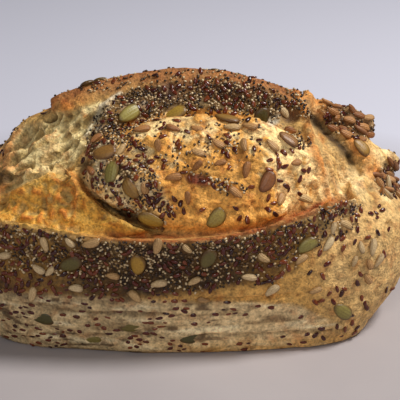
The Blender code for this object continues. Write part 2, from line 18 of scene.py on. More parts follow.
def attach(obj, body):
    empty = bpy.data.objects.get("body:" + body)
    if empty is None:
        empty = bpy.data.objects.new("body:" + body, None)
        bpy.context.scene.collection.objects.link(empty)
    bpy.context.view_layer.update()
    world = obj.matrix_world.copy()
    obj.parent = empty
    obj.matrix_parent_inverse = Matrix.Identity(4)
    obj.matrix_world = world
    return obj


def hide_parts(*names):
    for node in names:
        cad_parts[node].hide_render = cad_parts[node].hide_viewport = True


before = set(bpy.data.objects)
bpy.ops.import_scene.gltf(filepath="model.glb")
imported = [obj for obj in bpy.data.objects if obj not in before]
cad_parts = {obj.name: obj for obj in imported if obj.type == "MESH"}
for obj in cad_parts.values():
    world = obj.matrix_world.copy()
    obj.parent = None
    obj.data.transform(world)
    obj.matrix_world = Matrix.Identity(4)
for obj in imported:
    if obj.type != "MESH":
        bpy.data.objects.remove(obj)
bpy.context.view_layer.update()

MM = 0.001

# Overall sizes
LENGTH = 236.0
WIDTH = 140.0
HEIGHT = 122.0
FOOT_ROUND = 2.5

# Lower body: the part that the oven didn't lift
BODY_PLAN_POWER = 2.8
BODY_MIDDLE = 38.0
BODY_RISE = 37.0
BODY_RISE_POWER = 3.2
BODY_FOOT_FRONT = 95.0
BODY_FOOT_RIGHT = 52.0
BODY_FOOT_LEFT = 60.0
BODY_FOOT_POWER = 2.5

# Dome: the part that burst up between the cuts
DOME_CENTRE_X = 1.0
DOME_HALF_LENGTH = 109.0
DOME_HALF_WIDTH = 62.0
DOME_PLAN_POWER = 2.6
DOME_MIDDLE = 40.0
DOME_RISE = 74.0
DOME_FOOT = 80.0
DOME_JOIN = 12.0
SLOPE_STEP = 0.4

# Lattice on which the surface is found, and what is left of it
CRUST_STEP = 1.0
CRUST_TRIANGLES = 198000
CLEAR = 9.0
NEAR_STEPS = 3
JUST_INSIDE = -0.05

# Front view in which the relief is drawn
VIEW_TILT = math.radians(22.0)
VIEW_SCALE = 2.1
VIEW_DISTANCE = 650.0
VIEW_AIM = np.array([11.7, 0.0, 53.5])
VIEW_MIDDLE = 200.0
VIEW_LENS = VIEW_SCALE * 608.8


def smoothstep(low, high, value):
    t = unit((value - low) / (high - low))
    return t * t * (3.0 - 2.0 * t)


def fade(low, high, value):
    """1 below low, falling smoothly to 0 at high."""
    return 1.0 - smoothstep(low, high, value)


def unit(value):
    return np.clip(value, 0.0, 1.0)


def bell(gap, width):
    """1 where there is no gap, falling to 0 within about two widths."""
    return np.exp(-((gap / width) ** 2))


def soft_min(a, b, reach):
    share = unit(0.5 + 0.5 * (b - a) / reach)
    return b + (a - b) * share - reach * share * (1.0 - share)


def soft_max(a, b, reach):
    return -soft_min(-a, -b, reach)


LATTICE = np.random.default_rng(11).random((32, 32, 32)) * 2.0 - 1.0


def noise(p, size):
    """Smooth noise from -1 to 1 whose bumps are about size across."""
    grid = p / size
    cell = np.floor(grid).astype(int)
    part = grid - cell
    part = part * part * (3.0 - 2.0 * part)
    total = np.zeros(len(p))
    for corner in itertools.product((0, 1), repeat=3):
        weight = np.prod(np.where(corner, part, 1.0 - part), axis=1)
        i, j, k = ((cell + corner) % len(LATTICE)).T
        total += weight * LATTICE[i, j, k]
    return total


def body_level(p):
    """1 on the lower body's surface, less inside and more outside."""
    along = np.abs(p[:, 0] / (LENGTH / 2)) ** BODY_PLAN_POWER
    across = np.abs(p[:, 1] / (WIDTH / 2)) ** BODY_PLAN_POWER
    plan = (along + across) ** (1.0 / BODY_PLAN_POWER)
    rise = p[:, 2] - BODY_MIDDLE
    end_foot = np.where(p[:, 0] > 0, BODY_FOOT_RIGHT, BODY_FOOT_LEFT)
    share = along / np.maximum(along + across, 1e-9)
    foot = BODY_FOOT_FRONT + (end_foot - BODY_FOOT_FRONT) * smoothstep(0.1, 0.9, share)
    half = np.where(rise > 0, BODY_RISE, foot)
    power = np.where(rise > 0, BODY_RISE_POWER, BODY_FOOT_POWER)
    return (plan**power + np.abs(rise / half) ** power) ** (1.0 / power)


def dome_level(p):
    along = np.abs((p[:, 0] - DOME_CENTRE_X) / DOME_HALF_LENGTH) ** DOME_PLAN_POWER
    across = np.abs(p[:, 1] / DOME_HALF_WIDTH) ** DOME_PLAN_POWER
    plan = (along + across) ** (1.0 / DOME_PLAN_POWER)
    rise = p[:, 2] - DOME_MIDDLE
    half = np.where(rise > 0, DOME_RISE, DOME_FOOT)
    return np.sqrt(plan**2 + (rise / half) ** 2)


def slope(level, p):
    """The level's gradient by central differences."""
    columns = []
    for axis in range(3):
        shift = np.zeros(3)
        shift[axis] = SLOPE_STEP
        columns.append((level(p + shift) - level(p - shift)) / (2 * SLOPE_STEP))
    return np.stack(columns, axis=1)


def as_distance(level, p):
    """About the distance outside the level's surface, and the direction straight out of it."""
    lean = slope(level, p)
    steepness = np.maximum(np.linalg.norm(lean, axis=1), 1e-6)
    return (level(p) - 1.0) / steepness, lean / steepness[:, None]


def plain_loaf(p):
    """About the distance in millimetres outside the loaf without its relief, and the direction out of it."""
    body, body_out = as_distance(body_level, p)
    dome, dome_out = as_distance(dome_level, p)
    share = unit(0.5 + 0.5 * (dome - body) / DOME_JOIN)
    outside = dome + (body - dome) * share - DOME_JOIN * share * (1.0 - share)
    normal = dome_out + (body_out - dome_out) * share[:, None]
    return outside, normal / np.maximum(np.linalg.norm(normal, axis=1), 1e-6)[:, None]


def front_view(p):
    """Where points show in the front view: columns to the right and rows down."""
    away = p - VIEW_AIM
    depth = VIEW_DISTANCE + away[:, 1] * math.cos(VIEW_TILT) - away[:, 2] * math.sin(VIEW_TILT)
    up = away[:, 2] * math.cos(VIEW_TILT) + away[:, 1] * math.sin(VIEW_TILT)
    return VIEW_MIDDLE + VIEW_LENS * away[:, 0] / depth, VIEW_MIDDLE - VIEW_LENS * up / depth


def bent_line(points, steps=6):
    """A smooth line through a few points, as a finer list of points."""
    ends = [points[0], *points, points[-1]]
    line = []
    for a, b, c, d in zip(ends, ends[1:], ends[2:], ends[3:]):
        a, b, c, d = (np.array(q, float) for q in (a, b, c, d))
        for i in range(steps):
            t = i / steps
            bend = (2 * a - 5 * b + 4 * c - d) * t**2 + (3 * b - a - 3 * c + d) * t**3
            line.append(0.5 * (2 * b + (c - a) * t + bend))
    return np.array([*line, points[-1]])


def off_line(column, row, line):
    """Distance in millimetres from a line in the front view, above zero on its right hand as it is
    drawn, and the share of its length passed."""
    nearest = np.full(len(column), 1e9)
    passed = np.zeros(len(column))
    hand = np.ones(len(column))
    for n, (start, end) in enumerate(zip(line, line[1:])):
        run = end - start
        t = ((column - start[0]) * run[0] + (row - start[1]) * run[1]) / max(run @ run, 1e-9)
        t = unit(t)
        gap = np.hypot(column - start[0] - t * run[0], row - start[1] - t * run[1])
        closer = gap < nearest
        nearest = np.where(closer, gap, nearest)
        passed = np.where(closer, (n + t) / (len(line) - 1), passed)
        turned = run[0] * (row - start[1]) - run[1] * (column - start[0])
        hand = np.where(closer, np.where(turned < 0, -1.0, 1.0), hand)
    return hand * nearest / VIEW_SCALE, passed


def inside_outline(column, row, outline):
    """Distance in millimetres inside a closed outline in the front view, negative outside it."""
    inside = np.zeros(len(column), bool)
    for (x0, y0), (x1, y1) in zip(outline, np.roll(outline, -1, axis=0)):
        crosses = (y0 > row) != (y1 > row)
        rise = y1 - y0 if y1 != y0 else 1e-9
        inside ^= crosses & (column < (x1 - x0) * (row - y0) / rise + x0)
    gap, _ = off_line(column, row, np.vstack([outline, outline[:1]]))
    return np.where(inside, np.abs(gap), -np.abs(gap))


# Forms drawn in the front view, as (column, row)
FRONT_LIP = bent_line(
    [(-60, 196), (0, 224), (50, 233), (100, 241), (150, 244)]
    + [(200, 243), (250, 236), (300, 221), (330, 210), (362, 204)]
)
LIP_FLARE = 5.5
LIP_FLARE_DEPTH = 17.0
LIP_DROP = 8.5
ISLAND_SWELL = 7.0
FISSURE_OFF = 2.6
FISSURE_TUCK = 3.6
ISLAND_MIDDLE = (202.0, 171.0)
ISLAND_HALF = (118.0, 61.0)
TORN_OUTLINE = bent_line(
    [(-50, 175), (-8, 146), (18, 128), (40, 122), (52, 113), (72, 112), (90, 106), (102, 102), (104, 112)]
    + [(94, 128), (84, 146), (75, 160), (68, 168), (48, 173), (28, 181), (8, 191), (-40, 212)],
    3,
)
TORN_DEPTH = 4.0
TORN_PORES = 26
TORN_RIDGE = bent_line([(8, 172), (30, 168), (46, 163), (60, 153), (70, 152)])
TORN_HOLLOW = bent_line([(14, 166), (34, 158), (54, 146)])
POCKETS = (
    (290, 115, 6.5), (60, 161, 3.8), (62, 176, 4.2), (66, 195, 4.2), (50, 200, 2.4), (2, 176, 6.0),
)
FLAP_OUTLINE = bent_line(
    [(-50, 212), (0, 196), (24, 186), (46, 175), (66, 168), (76, 178), (90, 193), (102, 205), (116, 215)]
    + [(132, 225), (150, 232), (110, 238), (50, 230), (0, 221), (-50, 200)],
    3,
)
FLAP_EDGE = bent_line([(66, 169), (76, 179), (89, 193), (101, 205), (114, 215), (130, 225), (152, 233)])
FLAP_FOLD = bent_line([(73, 178), (77, 192), (73, 208)])
RIGHT_RIB = bent_line([(296, 90), (304, 108), (309, 127), (313, 143), (319, 162), (326, 188), (330, 215)])
END_RIB = bent_line([(306, 91), (320, 103), (335, 119), (350, 137), (362, 154), (375, 174)])
HOLLOW = bent_line([(313, 119), (322, 127), (334, 139), (347, 153), (358, 172)])
HOLLOW_DEPTH = 11.0
HOLLOW_HALF = 2.8
LIP_FOLD = bent_line([(226, 233), (256, 222), (288, 208), (314, 204)])
WALL_CRACK = bent_line([(198, 304), (236, 302), (268, 300), (292, 298)])
ISLAND_SPLIT = bent_line([(190, 177), (210, 182), (240, 193)])
EAR_LEFT, EAR_RIGHT = 54.0, 335.0
EAR_RISE = 8.5
EAR_DROOP = 3.2
EAR_MIDDLE_X = 16.0
EAR_Y = 5.0
EAR_BOW = 6.5
EAR_BOW_REACH = 90.0
EAR_WAVE = 1.3
EAR_WAVE_LENGTH = 9.0
EAR_LEAN = 0.35

# Larger seeds that show best, as (column, row, turn of the long axis in degrees from the row's direction)
PUMPKIN_SEEDS = (
    (105, 153, 5), (112, 173, 82), (131, 189, 125), (151, 219, 152), (216, 218, 52), (267, 182, 62),
    (129, 114, 35), (175, 114, 10), (227, 120, -25), (261, 119, 85), (288, 140, -38), (138, 264, 85),
    (71, 263, 35), (208, 258, 75), (307, 245, 32), (342, 311, -35), (344, 353, 15), (388, 326, 50),
    (43, 319, -4), (91, 339, 0), (130, 327, 5), (190, 337, 8), (361, 148, -50),
)
SUNFLOWER_SEEDS = (
    (45, 244, 100), (70, 242, -50), (91, 243, 20), (5, 255, 20), (39, 269, -30), (50, 271, 50),
    (113, 276, -10), (76, 288, -5), (159, 283, 10), (249, 277, -8), (301, 259, 35), (328, 244, 55),
    (333, 228, 85), (345, 224, -20), (361, 247, -65), (372, 247, 85), (354, 261, 75), (369, 264, -60),
    (378, 260, 60), (367, 278, -50), (121, 151, 70), (144, 188, -60), (197, 165, 60), (220, 163, 20),
    (198, 153, -20), (218, 144, -35), (272, 146, -45), (232, 128, 0), (250, 127, -30), (197, 129, -20),
    (142, 130, 20), (96, 139, 50), (91, 171, -60), (336, 107, -20), (349, 120, -15), (360, 131, -10),
    (369, 134, -25), (368, 118, 10),
)
SEED_LENGTHS = {"pumpkin": 12.0, "sunflower": 8.0}

# How many more of each are strewn, over which part of which view: (left, top, right, bottom)
STREWN = (
    ("pumpkin", "back", (40, 90, 360, 290), 12),
    ("sunflower", "back", (30, 85, 370, 300), 22),
    ("sunflower", "front", (150, 112, 310, 205), 12),
    ("sunflower", "front", (20, 245, 330, 300), 9),
)
SEED_SPACING = 11.0

# Clumps of dough and seeds that the burst left standing: both ends and the radius there
CLUMPS = (((72, 8, 97), 7.5, (95, 12, 90), 6.0), ((98, 2, 74), 7.5, (107, 4, 72), 6.0))


def island_reach(column, row):
    """0 in the middle of the island between the cuts, 1 at its edge."""
    return np.hypot((column - ISLAND_MIDDLE[0]) / ISLAND_HALF[0], (row - ISLAND_MIDDLE[1]) / ISLAND_HALF[1])


def island_gap(column, row):
    """About the distance in millimetres outside the island's edge, negative on the island."""
    reach = np.maximum(island_reach(column, row), 0.05)
    (middle_column, middle_row), (half_width, half_height) = ISLAND_MIDDLE, ISLAND_HALF
    steepness = np.hypot((column - middle_column) / half_width**2, (row - middle_row) / half_height**2)
    return (reach - 1.0) * reach / np.maximum(steepness, 1e-4) / VIEW_SCALE


def lip_relief(column, row):
    """The long front lip: the wall flares out to its sharp edge, and a shelf drops away behind it."""
    edge = np.interp(column, FRONT_LIP[:, 0], FRONT_LIP[:, 1])
    above = (edge - row) / VIEW_SCALE
    below = unit(1.0 + above / LIP_FLARE_DEPTH)
    flare = LIP_FLARE * below**1.5 - 1.2 * bell(above + 15.0, 6.0)
    raised = smoothstep(215.0, 300.0, column)
    shelf = LIP_FLARE - (LIP_DROP + 3.5 * raised) * smoothstep(0.0, 2.6, above)
    back_out = fade(9.0, 30.0, above)
    bead = 0.9 * bell(above, 1.3)
    profile = np.where(above < 0.0, flare, shelf * back_out) + bead
    return profile * fade(352.0, 360.0, column) * smoothstep(-58.0, -30.0, column)


def island_relief(column, row):
    """The island swells like a pillow inside a fissure that is deepest behind it and at its left foot."""
    reach = island_reach(column, row)
    turn = np.arctan2(ISLAND_MIDDLE[1] - row, column - ISLAND_MIDDLE[0])
    pillow = ISLAND_SWELL * np.sqrt(unit(1.0 - reach**3))
    behind = smoothstep(0.15, 0.8, np.sin(turn))
    left_foot = bell(np.mod(turn, 2 * math.pi) - math.radians(208), 0.42)
    gap = island_gap(column, row) - FISSURE_OFF + FISSURE_TUCK * left_foot
    right_side = bell(turn - math.radians(18), 0.4)
    depth = 10.0 * behind + 12.0 * left_foot + 3.5 * right_side * (1.0 - behind)
    return pillow - depth * bell(gap, 2.3 + 1.9 * behind)


def ear_line(x):
    """How far back the ear's rim runs: it bends round the island and waves a little."""
    bow = EAR_BOW * ((x - DOME_CENTRE_X) / EAR_BOW_REACH) ** 2
    return EAR_Y - bow + EAR_WAVE * np.sin(x / EAR_WAVE_LENGTH) * np.sin(x / 23.0 + 0.6)


def ear_relief(column, q, outside):
    """The crust behind the island stands up as an ear that leans over the fissure."""
    past = q[:, 1] - ear_line(q[:, 0]) + EAR_LEAN * outside
    height = EAR_RISE - EAR_DROOP * smoothstep(12.0, 48.0, np.abs(q[:, 0] - EAR_MIDDLE_X))
    rise = height * smoothstep(-17.0, -2.0, past) * fade(0.0, 36.0, past)
    rim = bell(past, 2.4)
    left_end = smoothstep(EAR_LEFT - 3, EAR_LEFT + 3, column)
    right_end = fade(EAR_RIGHT - 24, EAR_RIGHT, column)
    return (rise + 1.6 * rim) * left_end * right_end


def torn_edge(gap, height, steep, gentle):
    """A raised edge: steep on the right hand of its line, sloping away gently on the left."""
    return height * bell(gap, np.where(gap > 0, steep, gentle))


def torn_relief(column, row, q):
    """The torn crumb lies lower than the crust round it, craggy, with a ridge below a hollow."""
    inside = inside_outline(column, row, TORN_OUTLINE)
    ridge, _ = off_line(column, row, TORN_RIDGE)
    hollow, _ = off_line(column, row, TORN_HOLLOW)
    crags = 1.3 * noise(q, 7.0) + 0.9 * noise(q, 3.5)
    crags += torn_edge(ridge, 3.6, 3.2, 1.6) - 3.6 * bell(hollow, 3.4)
    return smoothstep(-1.5, 3.0, inside) * (crags - TORN_DEPTH)


def flap_relief(column, row):
    """The flap of crust at the left lifts off towards its curled edge, with a fold beside a pocket."""
    inside = inside_outline(column, row, FLAP_OUTLINE)
    edge, _ = off_line(column, row, FLAP_EDGE)
    fold, passed = off_line(column, row, FLAP_FOLD)
    lift = 1.5 + torn_edge(-edge, 4.8, 1.4, 4.0)
    return smoothstep(-0.8, 1.0, inside) * (lift + torn_edge(-fold, 3.2 * np.sin(math.pi * passed), 1.2, 4.0))


def right_relief(column, row, q):
    """The ribs at the right end, the hollow under the outer one's crumpled edge, and the lip's inner fold."""
    rib, passed = off_line(column, row, RIGHT_RIB)
    end_rib, end_passed = off_line(column, row, END_RIB)
    hollow, _ = off_line(column, row, HOLLOW)
    ends = smoothstep(0.0, 0.1, end_passed) * fade(0.85, 1.0, end_passed)
    crumple = 1.0 + 0.35 * noise(q, 5.0)
    ribs = torn_edge(rib, 3.6 * (1.0 - 0.6 * passed), 1.4, 3.0) + torn_edge(end_rib, 5.4 * ends, 2.2, 6.0)
    ribs *= crumple
    fold, fold_passed = off_line(column, row, LIP_FOLD)
    ribs += torn_edge(fold, 1.8 * np.sin(math.pi * unit(fold_passed)), 1.2, 2.6)
    return ribs - HOLLOW_DEPTH * bell(hollow, HOLLOW_HALF)


def crack_relief(column, row):
    """The crack along the front wall, and the small split on the island."""
    crack, _ = off_line(column, row, WALL_CRACK)
    split, _ = off_line(column, row, ISLAND_SPLIT)
    step = torn_edge(-split, 1.5, 1.0, 3.0) - torn_edge(split, 1.8, 1.6, 0.6)
    return step - 2.2 * bell(crack, 1.0)


def back_relief(p):
    """A low fold along the back wall, which the cuts never reached."""
    fold = p[:, 2] - 62.0 - 4.0 * np.sin(p[:, 0] / 31.0)
    bulge = 2.4 * bell(fold, 6.0) - 1.2 * bell(fold - 11.0, 5.0)
    return smoothstep(20.0, 45.0, p[:, 1]) * bulge


def relief(q, outside, normal):
    """How far the crust at q, on the plain loaf, stands out from it."""
    column, row = front_view(q)
    away = np.array([0.0, -math.cos(VIEW_TILT), math.sin(VIEW_TILT)])
    facing = smoothstep(-0.05, 0.25, normal @ away)
    seen = lip_relief(column, row) + island_relief(column, row) + torn_relief(column, row, q)
    seen += flap_relief(column, row) + right_relief(column, row, q) + crack_relief(column, row)
    swell = 1.6 * noise(q, 42.0) + 0.9 * noise(q, 15.0) + 0.55 * noise(q + 31.0, 8.0)
    return facing * seen + ear_relief(column, q, outside) + back_relief(q) + swell


def crust_spots(column, row):
    """Points of the plain loaf at places of the front view, and the directions straight out there."""
    ahead = np.array([0.0, math.cos(VIEW_TILT), -math.sin(VIEW_TILT)])
    up = np.array([0.0, math.sin(VIEW_TILT), math.cos(VIEW_TILT)])
    ray = VIEW_LENS * ahead + np.outer(VIEW_MIDDLE - row, up)
    ray[:, 0] += column - VIEW_MIDDLE
    ray /= np.linalg.norm(ray, axis=1)[:, None]
    spots = VIEW_AIM - VIEW_DISTANCE * ahead + 500.0 * ray
    for _ in range(40):
        outside, normal = plain_loaf(spots)
        spots = spots + 0.8 * outside[:, None] * ray
    return spots, normal


def pores():
    """Round pores that the burst opened: (centres, radii)."""
    rng = np.random.default_rng(17)
    places = rng.uniform((-5, 98), (104, 192), (400, 2))
    places = places[inside_outline(places[:, 0], places[:, 1], TORN_OUTLINE) > 1.0][:TORN_PORES]
    radii = rng.uniform(2.6, 6.6, len(places))
    spots, out = crust_spots(places[:, 0], places[:, 1])
    centres = spots + out * (0.35 * radii - TORN_DEPTH)[:, None]
    pockets = np.array(POCKETS)
    pocket_radii = pockets[:, 2]
    spots, out = crust_spots(pockets[:, 0], pockets[:, 1])
    pockets = spots + out * (0.3 * pocket_radii)[:, None]
    return list(zip(np.concatenate([centres, pockets]), np.concatenate([radii, pocket_radii])))


PORES = pores()


def clump_distance(p, start, radius, end, end_radius):
    start, end = np.array(start, float), np.array(end, float)
    run = end - start
    t = unit((p - start) @ run / (run @ run))
    return np.linalg.norm(p - start - t[:, None] * run, axis=1) - radius - (end_radius - radius) * t


def loaf(p):
    """About the distance outside the loaf with its relief, in millimetres."""
    outside, normal = plain_loaf(p)
    crust = outside - relief(p - outside[:, None] * normal, outside, normal)
    for centre, radius in PORES:
        crust = soft_max(crust, radius - np.linalg.norm(p - centre, axis=1), 1.0)
    for clump in CLUMPS:
        crust = soft_min(crust, clump_distance(p, *clump) + 0.8 * noise(p, 5.0), 4.0)
    return soft_max(crust, -p[:, 2], FOOT_ROUND)


def spread(marked, reach):
    """Marks the neighbours of each marked place of a lattice, reach steps out."""
    for axis in range(3):
        for _ in range(reach):
            grown = marked.copy()
            view, out = np.moveaxis(marked, axis, 0), np.moveaxis(grown, axis, 0)
            out[1:] |= view[:-1]
            out[:-1] |= view[1:]
            marked = grown
    return marked


def lattice_values(field, low, counts, step, finer):
    """The field on a lattice, worked out again near the surface each time the lattice is made finer."""
    if finer == 0:
        places = np.indices(counts).reshape(3, -1).T
        return field(low + step * places).reshape(counts)
    values = lattice_values(field, low, (counts + 1) // 2, step * 2, finer - 1)
    for axis in range(3):
        rough = np.moveaxis(values, axis, 0)
        fine = np.empty((2 * len(rough) - 1, *rough.shape[1:]))
        fine[::2] = rough
        fine[1::2] = (rough[1:] + rough[:-1]) / 2
        values = np.moveaxis(fine, 0, axis)
    near = spread(values < 0, NEAR_STEPS) & spread(values >= 0, NEAR_STEPS)
    values = np.ascontiguousarray(values)
    values[near] = field(low + step * np.argwhere(near))
    return values


def fill_pinches(values):
    """Fills the places of a lattice where its surface would touch itself along an edge."""
    pinched = True
    while pinched:
        pinched = False
        for plane in ((0, 1), (1, 2), (2, 0)):
            view = np.moveaxis(values, plane, (0, 1))
            a, b, c, d = view[:-1, :-1], view[1:, :-1], view[:-1, 1:], view[1:, 1:]
            falling = (a < 0) & (d < 0) & (b >= 0) & (c >= 0)
            rising = (b < 0) & (c < 0) & (a >= 0) & (d >= 0)
            b[falling] = JUST_INSIDE
            a[rising] = JUST_INSIDE
            pinched = pinched or falling.any() or rising.any()


def surface_net(values, low, step):
    """A closed mesh of quads where the lattice's values are zero: (points, quads)."""
    corners = list(itertools.product((0, 1), repeat=3))
    cells = np.array(values.shape) - 1

    def at(corner):
        return values[tuple(slice(c, c + n) for c, n in zip(corner, cells))]

    inside = sum((at(c) < 0).astype(int) for c in corners)
    mixed = (inside > 0) & (inside < 8)
    index = np.full(cells, -1)
    index[mixed] = np.arange(mixed.sum())
    base = np.argwhere(mixed)
    total = np.zeros((len(base), 3))
    hits = np.zeros(len(base))
    for a, b in itertools.combinations(corners, 2):
        if sum(abs(i - j) for i, j in zip(a, b)) != 1:
            continue
        va, vb = at(a)[mixed], at(b)[mixed]
        cut = (va < 0) != (vb < 0)
        t = np.where(cut, va / np.where(cut, va - vb, 1.0), 0.0)[:, None]
        total += np.where(cut[:, None], np.array(a) * (1 - t) + np.array(b) * t, 0.0)
        hits += cut
    points = low + step * (base + total / hits[:, None])
    quads = []
    for axis in range(3):
        u, v = (axis + 1) % 3, (axis + 2) % 3
        first = [slice(1, -1)] * 3
        first[axis] = slice(0, -1)
        second = list(first)
        second[axis] = slice(1, None)
        here, there = values[tuple(first)] < 0, values[tuple(second)] < 0
        for leaving in (True, False):
            spots = np.argwhere(here & ~there if leaving else ~here & there)
            spots[:, u] += 1
            spots[:, v] += 1
            ring = []
            for du, dv in ((0, 0), (1, 0), (1, 1), (0, 1)):
                cell = spots.copy()
                cell[:, u] -= du
                cell[:, v] -= dv
                ring.append(index[tuple(cell.T)])
            quad = np.stack(ring, axis=1)
            quads.append(quad if leaving else quad[:, ::-1])
    return points, np.concatenate(quads)


def fitted(points):
    """Points sized to the loaf's box, standing on z = 0 over the origin."""
    lowest, highest = points.min(axis=0), points.max(axis=0)
    scale = np.array([LENGTH, WIDTH, HEIGHT]) / (highest - lowest)
    middle = (lowest + highest) / 2
    middle[2] = lowest[2]
    return (points - middle) * scale


def loaf_surface(step, finer):
    """The crust as points and quads."""
    low = np.array([-LENGTH / 2, -WIDTH / 2, 0.0]) - CLEAR
    size = np.array([LENGTH, WIDTH, HEIGHT]) + 2 * CLEAR
    counts = np.ceil(size / (step * 2**finer)).astype(int) * 2**finer + 1
    values = lattice_values(loaf, low, counts, step, finer)
    fill_pinches(values)
    points, quads = surface_net(values, low, step)
    return fitted(points), quads


def eye_and_ray(view, column, row):
    """Where a view of the loaf is seen from, and the direction through one place of it."""
    side = -1.0 if view == "back" else 1.0
    right = np.array([side, 0.0, 0.0])
    ahead = np.array([0.0, side * math.cos(VIEW_TILT), -math.sin(VIEW_TILT)])
    up = np.array([0.0, side * math.sin(VIEW_TILT), math.cos(VIEW_TILT)])
    ray = VIEW_LENS * ahead + (column - VIEW_MIDDLE) * right + (VIEW_MIDDLE - row) * up
    return VIEW_AIM * [side, side, 1.0] - VIEW_DISTANCE * ahead, ray / np.linalg.norm(ray), right, up


def heading(right, up, turn):
    """The direction that is turned by so many degrees from a view's right hand."""
    return math.cos(math.radians(turn)) * right + math.sin(math.radians(turn)) * up


def laid(middle, along, out):
    """A seed's place with its long axis laid flat on the crust: (middle, long axis, side, out)."""
    along = along - (along @ out) * out
    along /= np.linalg.norm(along)
    return middle, along, np.cross(out, along), out


def seed_place(tree, view, column, row, turn):
    """Where a seed lies on the crust: (middle, long axis, side, out), or None where the view misses it."""
    eye, ray, right, up = eye_and_ray(view, column, row)
    spot, out, _, _ = tree.ray_cast(Vector(eye), Vector(ray))
    if spot is None:
        return None
    return laid(np.array(spot), heading(right, up, turn), np.array(out))


def is_clear(place, places):
    return all(np.linalg.norm(place[0] - other[0]) > SEED_SPACING for _, other in places if other)


def seed_places(tree):
    """Every larger seed: (kind, place)."""
    places = []
    for kind, sites in (("pumpkin", PUMPKIN_SEEDS), ("sunflower", SUNFLOWER_SEEDS)):
        places += [(kind, seed_place(tree, "front", *site)) for site in sites]
    rng = np.random.default_rng(5)
    for kind, view, (left, top, right, bottom), wanted in STREWN:
        found = 0
        for _ in range(30 * wanted):
            column, row, turn = rng.uniform(left, right), rng.uniform(top, bottom), rng.uniform(0, 180)
            place = seed_place(tree, view, column, row, turn)
            if place and found < wanted and is_clear(place, places):
                places.append((kind, place))
                found += 1
    return [(kind, place) for kind, place in places if place]


# Sowing: the part of a view that is tried, how low a seed may lie and reach, how far back a seed of the
# front may face, the cells that keep seeds apart, wider than any spacing, what a large seed claims of its
# length, and how near a tint's place it is
SOWN_LEFT, SOWN_RIGHT = -60.0, 440.0
SOWN_TOP, SOWN_BOTTOM = 60.0, 370.0
LOWEST_SEED = 1.0
SEED_FLOOR = 0.05
FRONT_SIDE = 0.3
CLAIM_CELL = 9.0
CLAIM_SHARE = 0.72
TINT_REACH = 8.0

# Colours as seen in soft light, 0 to 255
CRUMB = (238, 214, 152)
# Crumb colour darkened as painted shade, for hollows and pockets
SHADED_CRUMB = (180, 150, 90)
TOASTED = (200, 124, 50)
FLAP_GOLD = (220, 166, 70)
FLAP_BROWN = (176, 106, 34)
FLAP_PALE = (240, 208, 134)
ISLAND_GOLD = (226, 162, 76)
ISLAND_PALE = (244, 212, 148)
ISLAND_BURNT = (128, 62, 34)
RIGHT_PALE = (242, 210, 150)
RIGHT_GOLD = (212, 166, 92)
RIB_ORANGE = (200, 126, 54)
RIB_GOLD = (224, 168, 92)
# Painted shade for the right end's hollow and the pocket at the far left
HOLLOW_SHADE = (96, 70, 34)
POCKET_BROWN = (112, 78, 46)
WEB_WHITE = (216, 204, 176)
CROWN_BROWN = (118, 70, 36)
LIP_BROWN = (160, 86, 36)
LIP_EDGE = (236, 192, 124)
EAR_BROWN = (160, 98, 52)
WALL_GOLD = (210, 160, 86)
WALL_OLIVE = (136, 98, 44)
FOOT_GREY = (216, 186, 136)
FOOT_CREAM = (248, 226, 178)
# Darker streaks of the lower wall, also used as painted shade in its creases
FOOT_DARK_AND_CREASE_SHADE = (120, 88, 50)
FOOT_STAIN = (78, 50, 26)
END_GOLD = (214, 174, 112)
BACK_GOLD = (190, 138, 74)
# Painted shadow and painted olive shade for the bottoms of fissures and hollows
CREVICE_SHADOW = (40, 26, 14)
CREVICE_OLIVE_SHADE = (120, 96, 60)
CLUMP_BROWN = (104, 66, 34)
# Painted shade for the flap's hollows
FLAP_HOLLOW_SHADE = (150, 112, 48)
SMEAR_BROWN = (92, 66, 36)
# Painted shade for the deepest hollows of the crumb and the right end
DEEP_HOLLOW_SHADE = (122, 92, 46)
ISLAND_BROWN = (160, 92, 38)
# Dark between the seeds: partly the dough's own colour, partly painted shade
GAP_DOUGH_AND_SHADE = (58, 38, 16)
FLANK_GREY = (204, 172, 114)
BLOT_BROWN = (196, 132, 74)
BLOT_PALE = (120, 100, 64)
SKIN_SHADE = (160, 124, 88)
# Seeds' rim colour: partly their own rim line, partly painted shade
SKIN_RIM_AND_SHADE = (84, 48, 18)
FLOOR_WARM = (165, 157, 158)
FLOOR_LIGHT = (177, 169, 169)
FLOOR_COOL = (212, 212, 225)
WORLD = (210, 209, 212)

# Tones of the seeds' skins, as stops from 0 to 1
PUMPKIN_TONES = (
    (0.0, (78, 72, 28)), (0.25, (118, 104, 44)), (0.5, (166, 154, 80)), (0.65, (180, 136, 38)),
    (0.8, (150, 112, 48)), (1.0, (150, 94, 50)),
)
SUNFLOWER_TONES = (
    (0.0, (230, 204, 156)), (0.3, (208, 172, 116)), (0.6, (192, 136, 78)), (0.8, (158, 102, 54)),
    (1.0, (112, 72, 38)),
)
FLAX_TONES = ((0.0, (50, 16, 8)), (0.4, (92, 32, 14)), (0.7, (130, 64, 28)), (1.0, (66, 22, 8)))
# Chia's palest stops are partly the seeds' own pale mottle, partly painted glints
CHIA_TONES_AND_GLINTS = (
    (0.0, (34, 20, 9)), (0.36, (62, 40, 19)), (0.52, (116, 85, 47)), (0.7, (182, 150, 102)),
    (0.95, (238, 216, 172)),
)

